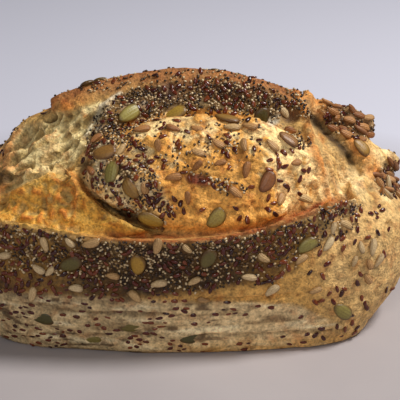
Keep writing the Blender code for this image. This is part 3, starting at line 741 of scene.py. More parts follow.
# What each seed's skin is like: (tones, darkness of the rim as own rim line and painted shade, roughness,
# specular level, bump, ribs)
SKINS = {
    "pumpkin": (PUMPKIN_TONES, 0.75, 0.42, 0.45, 0.5, 0.2),
    "sunflower": (SUNFLOWER_TONES, 0.45, 0.5, 0.4, 0.6, 0.4),
    "flax": (FLAX_TONES, 0.3, 0.22, 0.45, 0.1, 0.0),
    "chia": (CHIA_TONES_AND_GLINTS, 0.15, 0.34, 0.5, 0.05, 0.0),
}
RIB_TURNS = 15.0
SKIN_GRAIN = 0.0007
SKIN_BUMP = 0.0003

# The crust's grain, pores and blots, in metres
CRUST_GRAIN = 0.0011
CRUST_PORES = 0.0028
CRUST_BLOTS = 0.0062
CRUST_BUMP = 0.0009

# Floor: half its width in millimetres, and its veins and where its near colour ends, in metres
FLOOR_HALF = 4000.0
FLOOR_VEINS = 0.16
FLOOR_NEAR, FLOOR_FAR = 0.17, 0.3

# Lamps as (name, place, size, power, colour) in metres and watts, the world's strength and the camera
LAMPS = (
    ("key", (0.85, 0.05, 1.35), 0.45, 25.0, (1.0, 0.985, 0.96)),
    ("fill", (-0.25, -1.35, 0.9), 0.6, 6.0, (1.0, 0.98, 0.95)),
)
LAMP_AIM = (0.0, 0.0, 0.05)
WORLD_STRENGTH = 0.21
SENSOR_WIDTH = 36.0

# Zones of the front view
BAND_ZONE = np.array(
    [(-60, 196), (0, 224), (50, 233), (100, 241), (150, 244), (200, 243), (250, 236), (300, 221), (356, 203)]
    + [(359, 222), (334, 242), (304, 252), (296, 268), (268, 284), (240, 284), (200, 292), (120, 300)]
    + [(60, 298), (0, 294), (-60, 268)],
    float,
)
EAR_ZONE = np.array(
    [(86, 150), (95, 122), (116, 98), (138, 87), (180, 80), (230, 81), (264, 88), (288, 99), (300, 110)]
    + [(284, 110), (270, 122), (262, 118), (240, 113), (200, 111), (165, 115), (140, 124), (122, 140)]
    + [(106, 152), (94, 158)],
    float,
)
FLANK_ZONE = np.array(
    [(78, 168), (92, 140), (128, 134), (146, 150), (158, 182), (170, 206), (164, 228), (146, 226)]
    + [(120, 206), (96, 186)],
    float,
)
FOOT_LINE = np.array(
    [(-80, 282), (0, 292), (100, 298), (190, 303), (240, 303), (300, 306), (340, 326), (400, 372)], float
)
CHIA_FLOOR = np.array(
    [(-60, 262), (60, 276), (110, 288), (150, 288), (200, 279), (240, 271), (300, 250)], float
)

# Spots of the island with small seeds, as (share, middle, half size, turn)
CHIA_SPOTS = (
    (0.85, (160, 208), (20, 13), -20.0), (0.9, (226, 186), (24, 9), -15.0), (0.05, (190, 140), (90, 42), 0.0),
    (0.5, (224, 146), (24, 9), -10.0), (0.7, (240, 124), (26, 7), 0.0),
)
FLAX_SPOTS = (
    (0.35, (224, 146), (24, 9), -10.0), (0.8, (160, 208), (20, 13), -20.0), (0.6, (226, 186), (26, 9), -15.0),
)

# Small pits in the crust as (column, row, radius in millimetres)
PITS = (
    (316, 188, 1.7), (373, 188, 2.1), (390, 224, 2.0), (383, 205, 1.3), (366, 222, 1.2), (42, 200, 1.6),
)

# Hulled seeds whose own tone shows, as (column, row, tone)
PUMPKIN_TINTS = (
    (105, 153, 0.85), (112, 173, 0.4), (131, 189, 0.78), (151, 219, 0.6), (216, 218, 0.55), (267, 182, 1.0),
    (129, 114, 0.5), (261, 119, 0.05), (138, 264, 0.64), (71, 263, 0.12), (208, 258, 0.16), (43, 319, 0.0),
    (91, 339, 0.3), (130, 327, 0.2), (190, 337, 0.0), (307, 245, 0.42), (175, 114, 0.6), (227, 120, 0.8),
    (288, 140, 0.9), (361, 148, 0.75),
)

# Web of dough, runs along which the crumb was pulled, and sizes of the finer relief
WEB_LINE = bent_line([(86, 134), (94, 120), (105, 105), (120, 94)])
PULLED_RUN = np.array([0.42, -0.25, -0.87])
STRAND_RUN = np.array([0.78, 0.2, 0.59])
BITE_COUNT = 190
BITE_RADIUS = (1.6, 5.2)
CREASE_STEP = 7.5
FLAKE_SECOND = 0.42
FOOT_SINK = 1.95
HIGH_ROUNDS = 24


def linear(colour):
    c = np.array(colour) / 255.0
    return np.where(c <= 0.04045, c / 12.92, ((c + 0.055) / 1.055) ** 2.4)


class Coat:
    """A linear colour for each of a number of points."""

    def __init__(self, colour, count):
        self.colours = np.tile(linear(colour), (count, 1))

    def add(self, colour, share):
        """Moves each point's colour towards one colour by its share."""
        self.colours += (linear(colour) - self.colours) * unit(share)[:, None]

    def brighten(self, share):
        self.colours *= (1.0 + share)[:, None]


def zone_share(column, row, outline, edge=2.0):
    return smoothstep(-edge, edge, inside_outline(column, row, outline))


def spot_share(column, row, middle, half, turn=0.0):
    """1 in the middle of a turned oval spot, falling smoothly to 0 at its edge."""
    c, s = math.cos(math.radians(turn)), math.sin(math.radians(turn))
    x, y = column - middle[0], middle[1] - row
    reach = np.hypot((x * c + y * s) / half[0], (y * c - x * s) / half[1])
    return fade(0.55, 1.0, reach)


def strongest(column, row, spots):
    """The largest share that any of the spots gives."""
    return np.max([share * spot_share(column, row, *spot) for share, *spot in spots], axis=0)


def lip_above(column, row):
    """Height in millimetres above the long front lip's edge, as seen in the front view."""
    return (np.interp(column, FRONT_LIP[:, 0], FRONT_LIP[:, 1]) - row) / VIEW_SCALE


def foot_share(column, row):
    """1 on the pale lower wall, 0 above it."""
    edge = np.interp(column, FOOT_LINE[:, 0], FOOT_LINE[:, 1])
    return smoothstep(-3.0, 3.0, (row - edge) / VIEW_SCALE * 2.0)


def smear_share(column, row):
    """1 where the seeded crust is smeared down onto the lower wall at the left."""
    edge = np.interp(column, FOOT_LINE[:, 0], FOOT_LINE[:, 1])
    below = smoothstep(-18.0, -10.0, row - edge) * fade(-2.0, 9.0, row - edge)
    return below * fade(150.0, 210.0, column)


def patches(column, row, layer, size):
    """Smooth noise from -1 to 1 over a view, different on each layer."""
    return noise(np.stack([column, row, layer + 0 * row], axis=1), size)


def ridged(p, size):
    """Noise from 0 to 1 with sharp crests."""
    return 1.0 - np.abs(noise(p, size)) * 1.6


def creases(p):
    """Long folds along the lower wall: 1 in each fold's bottom, 0 off it."""
    level = p[:, 2] / CREASE_STEP + 0.55 * noise(p * [0.25, 0.25, 0.5] + 7.0, 12.0)
    off = np.abs(level - np.round(level))
    share = smoothstep(0.0, 0.35, noise(p * [0.3, 0.3, 1.0] + 23.0, 9.0))
    return bell(off, 0.07) * share


def edge_pairs(quads):
    pairs = np.concatenate([quads[:, [i, (i + 1) % 4]] for i in range(4)])
    return np.unique(np.sort(pairs, axis=1), axis=0)


def neighbour_mean(values, pairs, count):
    """For each vertex, the mean of its neighbours' values."""
    total = np.zeros_like(values)
    np.add.at(total, pairs[:, 0], values[pairs[:, 1]])
    np.add.at(total, pairs[:, 1], values[pairs[:, 0]])
    return total / count


def vertex_normals(points, quads):
    corners = points[quads]
    face = np.cross(corners[:, 2] - corners[:, 0], corners[:, 3] - corners[:, 1])
    normals = np.zeros_like(points)
    for i in range(4):
        np.add.at(normals, quads[:, i], face)
    return normals / np.maximum(np.linalg.norm(normals, axis=1), 1e-9)[:, None]


def stretched(p, run, share):
    """Points squeezed along a run, so that noise read there comes out drawn along it."""
    return p - share * np.outer(p @ run, run)


def foot_wrinkles(p):
    wrinkles = 0.5 * noise(p * [0.22, 0.22, 1.0], 2.6) + 0.3 * noise(p * [0.3, 0.3, 1.0], 1.4)
    return wrinkles - 1.3 * creases(p)


def bites(p, torn):
    """Scoops of several sizes torn out of the crumb along its strands, with thin walls left between them."""
    rng = np.random.default_rng(21)
    drawn = stretched(p, STRAND_RUN, 0.5)
    places = drawn[torn > 0.4]
    depth = np.zeros(len(p))
    for spot in places[rng.integers(0, len(places), BITE_COUNT)]:
        radius = rng.uniform(*BITE_RADIUS)
        gap = np.linalg.norm(drawn - spot, axis=1)
        depth = np.minimum(depth, -0.75 * radius * np.sqrt(unit(1.0 - (gap / radius) ** 2)))
    return depth


def crumb_crags(p, torn):
    """Pulled strands of crumb with scoops torn out between them."""
    strands = stretched(p, STRAND_RUN, 0.78)
    crags = 1.8 * ridged(strands, 12.0) + 0.8 * ridged(strands + 3.0, 5.0) + 0.4 * noise(p, 1.8)
    return crags - 0.6 + bites(p, torn)


def flap_blisters(p, column):
    """Blisters and crumpled skin, smoother towards the flap's folded edge."""
    rough = 3.2 * ridged(p + 11.0, 9.0) + 1.6 * ridged(p + 5.0, 4.0) + 0.6 * noise(p, 2.0) - 3.1
    return rough * (1.0 - 0.65 * smoothstep(64.0, 84.0, column))


def flake_level(p):
    """Flakes of lifted skin lie where this is above zero, and a second layer above FLAKE_SECOND."""
    return noise(p + 60.0, 8.0) + 0.3 * noise(p + 31.0, 2.6)


def flake_lift(p):
    level = flake_level(p)
    steps = smoothstep(-0.05, 0.05, level) + smoothstep(FLAKE_SECOND - 0.04, FLAKE_SECOND + 0.04, level)
    return 1.0 * steps - 0.7 + 0.3 * noise(p, 2.2)


class Crust:
    """The loaf's fine surface with what its colours and seeds need to know."""

    def __init__(self):
        self.points, self.quads = loaf_surface(CRUST_STEP, 2)
        self.pairs = edge_pairs(self.quads)
        self.count = np.bincount(self.pairs.ravel(), minlength=len(self.points)).astype(float)[:, None]
        self.smooth_normals = self.smoothed(vertex_normals(self.points, self.quads), 5)
        self.smooth_normals /= np.linalg.norm(self.smooth_normals, axis=1)[:, None]
        self.column, self.row = front_view(self.points)
        self.facing = self.smooth_normals @ np.array([0.0, -math.cos(VIEW_TILT), math.sin(VIEW_TILT)])
        self.front = smoothstep(-0.05, 0.3, self.facing)
        self.measure()
        lift = self.relief()
        self.high = lift - self.smoothed(lift[:, None], HIGH_ROUNDS)[:, 0]
        self.points = fitted(self.points + lift[:, None] * self.smooth_normals)
        bend = self.points - self.smoothed(self.points, 1)
        self.ridge = self.smoothed((bend * self.smooth_normals).sum(axis=1)[:, None], 1)[:, 0]
        self.broad = noise(self.points, 26.0)
        self.middling = noise(self.points + 40.0, 9.0)
        self.small = noise(self.points + 80.0, 3.6)

    def smoothed(self, values, rounds):
        for _ in range(rounds):
            values = (values + neighbour_mean(values, self.pairs, self.count)) / 2
        return values

    def measure(self):
        """Shares from 0 to 1 that say which part of the loaf each vertex belongs to."""
        column, row, front = self.column, self.row, self.front
        above = lip_above(column, row)
        self.above = above
        on_top = smoothstep(0.0, 1.5, above) * front
        self.torn = zone_share(column, row, TORN_OUTLINE, 1.5) * front
        self.flap = zone_share(column, row, FLAP_OUTLINE, 1.5) * on_top * (1.0 - self.torn)
        reach = island_reach(column, row)
        self.island = fade(0.97, 1.06, reach) * on_top
        self.ear = zone_share(column, row, EAR_ZONE) * on_top * (1.0 - self.island)
        height = self.points[:, 2]
        front_foot = foot_share(column, row) * front
        foot_height = 29.0 + 4.0 * noise(self.points, 40.0)
        side_foot = fade(foot_height - 3.0, foot_height + 3.0, height) * (1.0 - front)
        self.foot = unit(front_foot + side_foot)
        self.band = zone_share(column, row, BAND_ZONE, 3.0) * front
        self.right = smoothstep(300.0, 318.0, column) * on_top * (1.0 - self.island)
        self.end = smoothstep(300.0, 345.0, column) * fade(0.0, 2.0, above) * front
        strip = smoothstep(-0.3, 0.3, above) * fade(3.5, 7.0, above) * front
        self.strip = strip * smoothstep(70.0, 130.0, column) * fade(335.0, 358.0, column)

    def relief(self):
        """How far in millimetres pores, strands, flakes and wrinkles lift each vertex."""
        p = self.points
        lift = (0.3 * noise(p, 4.6) + 0.22 * noise(p, 2.4)) * (1.0 - self.foot)
        lift += foot_wrinkles(p) * self.foot
        lift = lift * (1.0 - self.torn) + crumb_crags(p, self.torn) * self.torn
        lift += flap_blisters(p, self.column) * self.flap + flake_lift(p) * self.island * (1.0 - self.strip)
        lift += 0.45 * noise(p * [0.2, 1.0, 1.0], 1.9) * self.strip
        pulled = stretched(p, PULLED_RUN, 0.85)
        lift += (0.8 * noise(pulled, 3.4) + 0.4 * noise(pulled, 1.7)) * self.right
        lift += (2.0 * ridged(p, 4.2) - 0.7) * near_line(self, END_RIB, 3.6, 1.0)
        lift += 1.5 * near_line(self, RIGHT_RIB, 1.8) - 1.7 * near_line(self, HOLLOW, 2.2, 0.4)
        lift += 1.1 * bell(off_line(self.column, self.row, WEB_LINE)[0], 1.0) * self.front
        for column, row, radius in PITS:
            reach = np.hypot(self.column - column, self.row - row) / VIEW_SCALE / radius
            lift -= 0.8 * radius * np.sqrt(unit(1.0 - reach**2)) * self.front
        return lift * smoothstep(0.5, 3.0, p[:, 2])


def near_line(crust, line, width, shift=0.0):
    """1 on a line of the front view, falling to 0 within about two widths in millimetres."""
    off, _ = off_line(crust.column, crust.row, line)
    return bell(off + shift, width) * crust.front


def paint_back(crust, coat):
    height, back = crust.points[:, 2], 1.0 - crust.front
    mottled = unit(0.5 + 0.9 * crust.middling + 0.5 * crust.small)
    coat.add(WALL_GOLD, smoothstep(0.0, 0.5, crust.front))
    coat.add(LIP_BROWN, 0.85 * smoothstep(78.0, 112.0, height) * back * mottled)
    coat.add(WALL_OLIVE, 0.7 * mottled * back * smoothstep(22.0, 40.0, height))


def paint_right(crust, coat):
    coat.add(RIGHT_GOLD, smoothstep(0.0, 2.0, crust.above) * crust.front)
    coat.add(RIGHT_PALE, crust.right * unit(0.85 + 0.5 * crust.middling))
    streak = noise(stretched(crust.points, PULLED_RUN, 0.85), 2.6)
    coat.add(RIGHT_GOLD, crust.right * smoothstep(0.0, 0.45, -streak) * 0.75)
    # painted shade that tones down the brightly lit crust round the ribs
    painted_rib_shade = spot_share(crust.column, crust.row, (338, 140), (40, 44), -30.0)
    coat.add(RIGHT_GOLD, crust.right * painted_rib_shade * 0.6)
    # painted shade in the deepest hollows of the pulled crust
    coat.add(DEEP_HOLLOW_SHADE, crust.right * smoothstep(0.45, 1.1, -crust.high) * 0.55)


def paint_ribs(crust, coat):
    """Toasted edges along the right end's ribs, painted shade in the hollow between them and painted shade in
    the pocket at the far left.
    """
    scorched = unit(0.75 + 0.8 * crust.small + 0.3 * crust.high)
    coat.add(RIB_GOLD, near_line(crust, END_RIB, 4.0, 1.0) * 0.9)
    coat.add(RIB_ORANGE, near_line(crust, END_RIB, 3.6, 0.5) * scorched * 0.9)
    off, _ = off_line(crust.column, crust.row, RIGHT_RIB)
    edges = bell(off - 0.5, 2.0) + 0.5 * bell(off + 4.6, 1.1)
    coat.add(RIB_ORANGE, edges * crust.front * scorched * 0.9)
    # painted olive shade in the hollow under the outer rib, with a painted shadow along its core
    open_end = fade(346.0, 360.0, crust.column)
    coat.add(HOLLOW_SHADE, near_line(crust, HOLLOW, 3.2) * open_end)
    coat.add(CREVICE_SHADOW, near_line(crust, HOLLOW, 1.3, 0.9) * 0.5 * open_end)
    # painted shade in the deep pocket at the far left
    pocket = spot_share(crust.column, crust.row, (1, 176), (11, 12)) * crust.front
    coat.add(HOLLOW_SHADE, pocket)


def paint_island(crust, coat):
    column, row, level = crust.column, crust.row, flake_level(crust.points)
    coat.add(ISLAND_GOLD, crust.island)
    to_right = 0.6 * smoothstep(255.0, 310.0, column)
    pale = smoothstep(0.05, 0.55, crust.broad + 0.6 * crust.small + to_right - 0.5 * crust.high)
    coat.add(ISLAND_PALE, crust.island * pale * 0.9)
    edges = bell(level - 0.05, 0.07) + bell(level - FLAKE_SECOND - 0.05, 0.06)
    scorched = unit(0.55 + 0.9 * crust.middling)
    coat.add(ISLAND_BROWN, crust.island * edges * scorched * 0.8)
    burnt = spot_share(column, row, (199, 180), (19, 8), -12.0)
    coat.add(ISLAND_BURNT, crust.island * burnt)
    # painted light: the island's lower part and right end brightened
    painted_light = 0.22 * smoothstep(183.0, 205.0, row) + 0.2 * smoothstep(240.0, 285.0, column)
    coat.brighten(crust.island * painted_light)


def paint_ear(crust, coat):
    column, row = crust.column, crust.row
    coat.add(POCKET_BROWN, spot_share(column, row, (291, 114), (15, 13)) * crust.front)
    coat.add(WEB_WHITE, spot_share(column, row, (273, 117), (9, 12)) * crust.front)
    # ear face darkened: partly the dough's own colour, partly painted shade under the ear
    coat.add(GAP_DOUGH_AND_SHADE, crust.ear * (0.8 + 0.3 * crust.middling))
    flank = zone_share(column, row, FLANK_ZONE) * crust.front * (1.0 - crust.flap)
    coat.add(FLANK_GREY, flank * unit(0.35 + 0.6 * crust.middling))
    # dark patches between the flank's seeds: partly dough colour, partly painted shade
    gaps = smoothstep(0.1, 0.5, -crust.middling - 0.4 * crust.small)
    coat.add(GAP_DOUGH_AND_SHADE, flank * gaps * 0.8)
    to_left = fade(130.0, 190.0, column)
    floury = smoothstep(0.25, 0.6, crust.small + 0.4 * crust.middling) * to_left
    coat.add(WEB_WHITE, np.maximum(0.75 * crust.ear, 0.4 * flank) * floury)
    shelf = smoothstep(100.0, 108.0, row) * fade(122.0, 130.0, row) * (1.0 - crust.island)
    coat.add(WALL_OLIVE, crust.ear * shelf * 0.7)


def paint_flap(crust, coat):
    coat.add(FLAP_GOLD, crust.flap)
    coat.add(FLAP_PALE, crust.flap * smoothstep(0.1, 0.8, -crust.high) * 0.6)
    brown = smoothstep(0.1, 0.9, 0.8 * crust.high + 0.4 * crust.small + 0.4 * crust.middling)
    coat.add(FLAP_BROWN, crust.flap * brown * 0.9)
    # painted shade in the flap's deepest hollows
    coat.add(FLAP_HOLLOW_SHADE, crust.flap * smoothstep(0.5, 1.4, -crust.high) * 0.7)
    crests = smoothstep(0.5, 1.1, crust.high + 0.3 * crust.small)
    coat.add(TOASTED, crust.flap * crests * 0.9)
    curl = near_line(crust, FLAP_EDGE, 1.5) * fade(84.0, 110.0, crust.column)
    coat.add(TOASTED, np.maximum(curl, near_line(crust, FLAP_FOLD, 1.4)) * 0.85)
    for column, row, radius in POCKETS[1:-1]:
        reach = np.hypot(crust.column - column, crust.row - row) / VIEW_SCALE / radius
        # painted shade inside each pocket
        coat.add(SHADED_CRUMB, fade(0.5, 0.85, reach) * crust.front * 0.8)
        coat.add(TOASTED, bell(reach - 1.0, 0.16) * crust.flap * 0.8)


def paint_front_wall(crust, coat):
    coat.add(WALL_OLIVE, crust.band)
    dense = smoothstep(40.0, 110.0, crust.column) * fade(225.0, 290.0, crust.column)
    # dense band darkened between its seeds: partly dough colour, partly painted shade
    coat.add(GAP_DOUGH_AND_SHADE, crust.band * dense * unit(0.85 + 0.4 * crust.middling))
    coat.add(END_GOLD, crust.end * (0.85 + 0.3 * crust.middling))


def paint_foot(crust, coat):
    p, foot, end = crust.points, crust.foot, crust.end
    coat.add(FOOT_GREY, foot * (1.0 - 0.7 * end))
    streak = 0.8 * noise(p * [0.16, 0.16, 1.0] + 9.0, 3.2) + 0.9 * noise(p * [0.14, 0.14, 1.0], 1.25)
    coat.add(FOOT_CREAM, foot * smoothstep(0.15, 0.7, streak) * 0.8)
    coat.add(FOOT_DARK_AND_CREASE_SHADE, foot * smoothstep(0.35, 0.8, -streak) * 0.6)
    # painted shade in the bottom of each crease
    coat.add(FOOT_DARK_AND_CREASE_SHADE, foot * creases(p) * 0.85)
    stains = noise(p * [0.24, 0.24, 1.0] + 3.0, 1.5) + 0.6 * noise(p * [0.4, 0.4, 1.0], 7.0)
    stained = smoothstep(0.4, 0.6, stains) * (1.0 - 0.75 * smoothstep(200.0, 260.0, crust.column))
    coat.add(FOOT_STAIN, foot * stained * 0.85)
    baked = fade(2.0, 11.0, p[:, 2] + 4.0 * crust.middling)
    coat.add(WALL_GOLD, foot * baked * smoothstep(120.0, 220.0, crust.column) * 0.7)
    smear = smear_share(crust.column, crust.row) * crust.front * unit(0.5 + 1.2 * streak)
    coat.add(SMEAR_BROWN, smear * 0.85)
    # painted light and shade: the lower wall darker at the left and brighter towards the right
    along = smoothstep(60.0, 240.0, crust.column)
    coat.brighten((0.32 * along - 0.22) * foot * crust.front)


def paint_lip(crust, coat):
    coat.add(LIP_BROWN, crust.strip * (0.8 + 0.4 * crust.small))
    line = bell(crust.above + 0.2, 0.7) * crust.front
    line *= fade(345.0, 360.0, crust.column)
    coat.add(LIP_EDGE, line * np.clip(0.5 + 0.8 * crust.small, 0.0, 0.8))


def paint_crumb(crust, coat):
    torn, high = crust.torn, crust.high
    coat.add(CRUMB, torn)
    # painted shade: the crumb darker in its hollows, darkest in the deepest
    coat.add(SHADED_CRUMB, torn * smoothstep(-0.45, 0.5, -high + 0.3 * crust.middling) * 0.9)
    coat.add(DEEP_HOLLOW_SHADE, torn * smoothstep(0.35, 1.3, -high) * 0.9)
    left = fade(0.0, 34.0, crust.column + 10.0 * crust.middling)
    toasting = smoothstep(0.5, 1.2, 0.6 * high + 0.3 * crust.broad + 1.2 * left)
    coat.add(TOASTED, torn * toasting * 0.75)


def paint_rims(crust, coat):
    p, column, row = crust.points, crust.column, crust.row
    corner = spot_share(column, row, (62, 100), (34, 15), 8.0) * crust.front
    mottled = unit(0.7 + 0.6 * crust.small)
    coat.add(TOASTED, corner * (1.0 - crust.torn) * mottled)
    crown = smoothstep(104.0, 116.0, crust.points[:, 2])
    coat.add(CROWN_BROWN, 0.75 * crown * mottled)
    rim = bell(p[:, 1] - ear_line(p[:, 0]) + 2.0, 7.0) * smoothstep(96.0, 108.0, p[:, 2])
    coat.add(EAR_BROWN, rim * (1.0 - crust.ear) * (1.0 - crust.torn) * 0.85)
    plain = (1.0 - crust.foot) * (1.0 - crust.torn) * (1.0 - crust.flap)
    coat.add(LIP_BROWN, smoothstep(0.06, 0.3, crust.ridge) * plain * 0.5)


def paint_gaps(crust, coat):
    """Painted shadow in the fissure bottoms round the island, pale webs of dough and the clumps' dark ground.
    """
    column, row = crust.column, crust.row
    turn = np.arctan2(ISLAND_MIDDLE[1] - row, column - ISLAND_MIDDLE[0])
    left_foot = bell(np.mod(turn, 2 * math.pi) - math.radians(208), 0.4)
    off = island_gap(column, row) - FISSURE_OFF + FISSURE_TUCK * left_foot
    # painted shadow at the island's left foot and painted olive shade behind it, in the fissure's bottom
    crevice = bell(off, 2.0) * crust.front
    coat.add(CREVICE_SHADOW, crevice * left_foot * 0.95)
    behind = (1.0 - left_foot) * smoothstep(0.1, 0.8, np.sin(turn))
    coat.add(CREVICE_OLIVE_SHADE, crevice * behind * 0.7)
    coat.add(WEB_WHITE, near_line(crust, WEB_LINE, 1.1) * 0.75)
    clumps = clump_share(column, row) * crust.front * (crust.points[:, 0] > 66.0)
    coat.add(CLUMP_BROWN, clumps * 0.85)


PAINTS = (
    paint_back, paint_right, paint_island, paint_ear, paint_flap, paint_front_wall, paint_foot, paint_lip,
    paint_crumb, paint_rims, paint_ribs, paint_gaps,
)


def crust_colours(crust):
    """The crust's colour at each vertex, linear, with painted highlight on its crests and painted shade in
    its hollows.
    """
    coat = Coat(BACK_GOLD, len(crust.points))
    for paint in PAINTS:
        paint(crust, coat)
    # random tone, plus painted highlight on crests and painted shade in hollows from the high term
    light = 1.0 + 0.12 * crust.middling + 0.12 * crust.small + 0.18 * np.clip(crust.high, -1.0, 1.0)
    return coat.colours * light[:, None]


class Kind:
    """A kind of seed: size in millimetres and its range of growth, how deep it is sunk, sides and rings of
    its mesh, how flat and how pointed it is."""

    def __init__(self, name, size, growth, sunk, sides, rings, squareness, egg):
        self.name, self.size, self.growth, self.sunk = name, np.array(size), growth, sunk
        self.sides, self.rings, self.squareness, self.egg = sides, rings, squareness, egg


PUMPKIN = Kind("pumpkin", (12.0, 7.4, 2.9), (0.88, 1.05), 0.2, 18, 13, 0.75, 0.2)
SUNFLOWER = Kind("sunflower", (8.3, 4.0, 2.7), (0.72, 1.06), 0.2, 12, 10, 0.95, 0.26)
FLAX = Kind("flax", (3.9, 2.1, 1.1), (0.85, 1.12), 0.15, 8, 6, 0.9, 0.22)
CHIA = Kind("chia", (1.6, 1.12, 1.0), (0.8, 1.15), 0.12, 6, 3, 1.0, 0.1)


def seed_template(kind):
    """A seed of unit size along x, y and z: (points, faces)."""
    points = []
    for ring in range(1, kind.rings):
        t = math.pi * ring / kind.rings
        wide = math.sin(t) ** 0.85 * (1.0 + kind.egg * math.cos(t))
        for n in range(kind.sides):
            a = 2 * math.pi * n / kind.sides
            y = math.copysign(abs(math.cos(a)) ** kind.squareness, math.cos(a))
            z = math.copysign(abs(math.sin(a)) ** (2.0 - kind.squareness), math.sin(a))
            points.append((0.5 * math.cos(t), 0.5 * wide * y, 0.5 * wide * z))
    points += [(0.5, 0.0, 0.0), (-0.5, 0.0, 0.0)]
    tip, tail = len(points) - 2, len(points) - 1
    faces = []
    for n in range(kind.sides):
        m = (n + 1) % kind.sides
        faces.append((tip, n, m))
        for ring in range(kind.rings - 2):
            a, b = ring * kind.sides, (ring + 1) * kind.sides
            faces += [(a + n, b + n, b + m), (a + n, b + m, a + m)]
        last = (kind.rings - 2) * kind.sides
        faces.append((last + n, tail, last + m))
    return np.array(points), np.array(faces)


def clump_share(column, row):
    first = spot_share(column, row, (350, 119), (36, 20), -25.0)
    return np.maximum(first, spot_share(column, row, (396, 180), (24, 22), 0.0))


def seed_tones(kind, places, rng):
    """Each seed's tone from 0 to 1: larger ones are toasted on the island and most of all on the clumps."""
    tones = rng.random(len(places))
    if kind not in (PUMPKIN, SUNFLOWER):
        return tones
    column, row = front_view(np.array([place[0] for place in places]))
    facing = np.array([place[3][1] < FRONT_SIDE for place in places])
    island = 0.3 * (island_reach(column, row) < 1.05) * facing
    tones = 0.5 * tones + np.maximum(island, 0.45 * (clump_share(column, row) > 0.0) * facing)
    if kind is PUMPKIN:
        for tint_column, tint_row, tone in PUMPKIN_TINTS:
            tones[facing & (np.hypot(column - tint_column, row - tint_row) < TINT_REACH)] = tone
    return tones


def seeds_object(kind, places, seed_number):
    """All seeds of a kind as one mesh, each with its own tone."""
    rng = np.random.default_rng(seed_number)
    template, faces = seed_template(kind)
    all_points = []
    for middle, along, side, out in places:
        grow = rng.uniform(*kind.growth) * kind.size * rng.uniform(0.94, 1.06, 3)
        bend = template.copy()
        bend[:, 1] += rng.uniform(-0.12, 0.12) * (4 * template[:, 0] ** 2 - 0.3)
        local = bend * grow
        turn = np.stack([along, side, out])
        all_points.append(middle + out * grow[2] * (0.5 - kind.sunk) * 0.9 + local @ turn)
    points = np.concatenate(all_points)
    points[:, 2] = np.maximum(points[:, 2], SEED_FLOOR)
    offsets = np.arange(len(places))[:, None, None] * len(template)
    obj = mesh_object(kind.name + "_seeds", points, (faces + offsets).reshape(-1, 3))
    add_attribute(obj, "tone", np.repeat(seed_tones(kind, places, rng), len(template)))
    add_attribute(obj, "lengthwise", np.tile(template[:, 0] * 2, len(places)))
    add_attribute(obj, "crosswise", np.tile(template[:, 1] * 2, len(places)))
    return obj


def front_chia(column, row):
    patchy = 0.9 + 0.6 * patches(column, row, 0, 24.0)
    band = zone_share(column, row, BAND_ZONE, 1.0)
    floor = np.interp(column, CHIA_FLOOR[:, 0], CHIA_FLOOR[:, 1])
    band *= 1.0 - 0.8 * smoothstep(-12.0, 6.0, row - floor) - 0.2 * fade(70.0, 130.0, column)
    clustered = patches(column, row, 4, 17.0)
    band *= 1.0 - 0.68 * smoothstep(240.0, 300.0, column)
    ear = 0.95 * zone_share(column, row, EAR_ZONE) * smoothstep(-0.75, 0.0, clustered)
    foot = 0.7 * zone_share(column, row, FLANK_ZONE) * smoothstep(-0.35, 0.2, clustered)
    island = strongest(column, row, CHIA_SPOTS)
    rim = 0.1 * smoothstep(60.0, 90.0, column) * fade(290.0, 330.0, column) * (row < 92)
    rib, _ = off_line(column, row, RIGHT_RIB)
    ridge = 0.8 * fade(1.0, 4.0, np.abs(rib - 1.0)) * (row < 118)
    ridge = np.maximum(ridge, 0.6 * spot_share(column, row, (298, 140), (17, 10), -20.0))
    clumps = 0.6 * clump_share(column, row)
    tip = 0.9 * spot_share(column, row, (338, 210), (26, 8), 8.0)
    return np.max([band * patchy, ear, foot, island * patchy, rim * patchy, ridge, clumps, tip], axis=0)


def front_flax(column, row):
    patchy = 0.8 + 0.8 * patches(column, row, 9, 20.0)
    centre = smoothstep(90.0, 130.0, column) * fade(235.0, 290.0, column)
    band = zone_share(column, row, BAND_ZONE, 1.5) * (0.6 - 0.35 * centre)
    ear = 0.4 * zone_share(column, row, EAR_ZONE)
    rim = 0.12 * smoothstep(60.0, 90.0, column) * fade(290.0, 330.0, column) * (row < 92)
    foot = 0.7 * zone_share(column, row, FLANK_ZONE)
    island = 0.14 * fade(0.85, 1.0, island_reach(column, row))
    island = np.maximum(island, strongest(column, row, FLAX_SPOTS))
    end = 0.12 * smoothstep(300.0, 330.0, column) * (lip_above(column, row) < 0)
    clumps = 0.8 * clump_share(column, row)
    tip = 0.9 * spot_share(column, row, (338, 209), (26, 8), 8.0)
    return np.max([band * patchy, ear, rim, foot, island * patchy, end, clumps, tip], axis=0)


def foot_flax(column, row):
    """Seeds baked into the lower wall, fewer towards the right."""
    patchy = 0.45 + 1.5 * patches(0.4 * column, row, 2, 9.0)
    sown = foot_share(column, row) * patchy * (1.0 - 0.8 * smoothstep(120.0, 300.0, column))
    return np.maximum(sown, 0.9 * smear_share(column, row))


def clump_seeds(column, row):
    return (clump_share(column, row) > 0.15) * 1.0


def back_chia(column, row):
    patchy = 0.8 + 0.7 * patches(column, row, 5, 30.0)
    wall = smoothstep(150.0, 175.0, row) * fade(225.0, 290.0, row)
    crown = 0.22 * fade(150.0, 175.0, row)
    return np.maximum(wall, crown) * patchy


def back_flax(column, row):
    patchy = 0.8 + 0.8 * patches(column, row, 3, 26.0)
    return (0.12 + 0.5 * smoothstep(140.0, 180.0, row) - 0.3 * smoothstep(250.0, 290.0, row)) * patchy


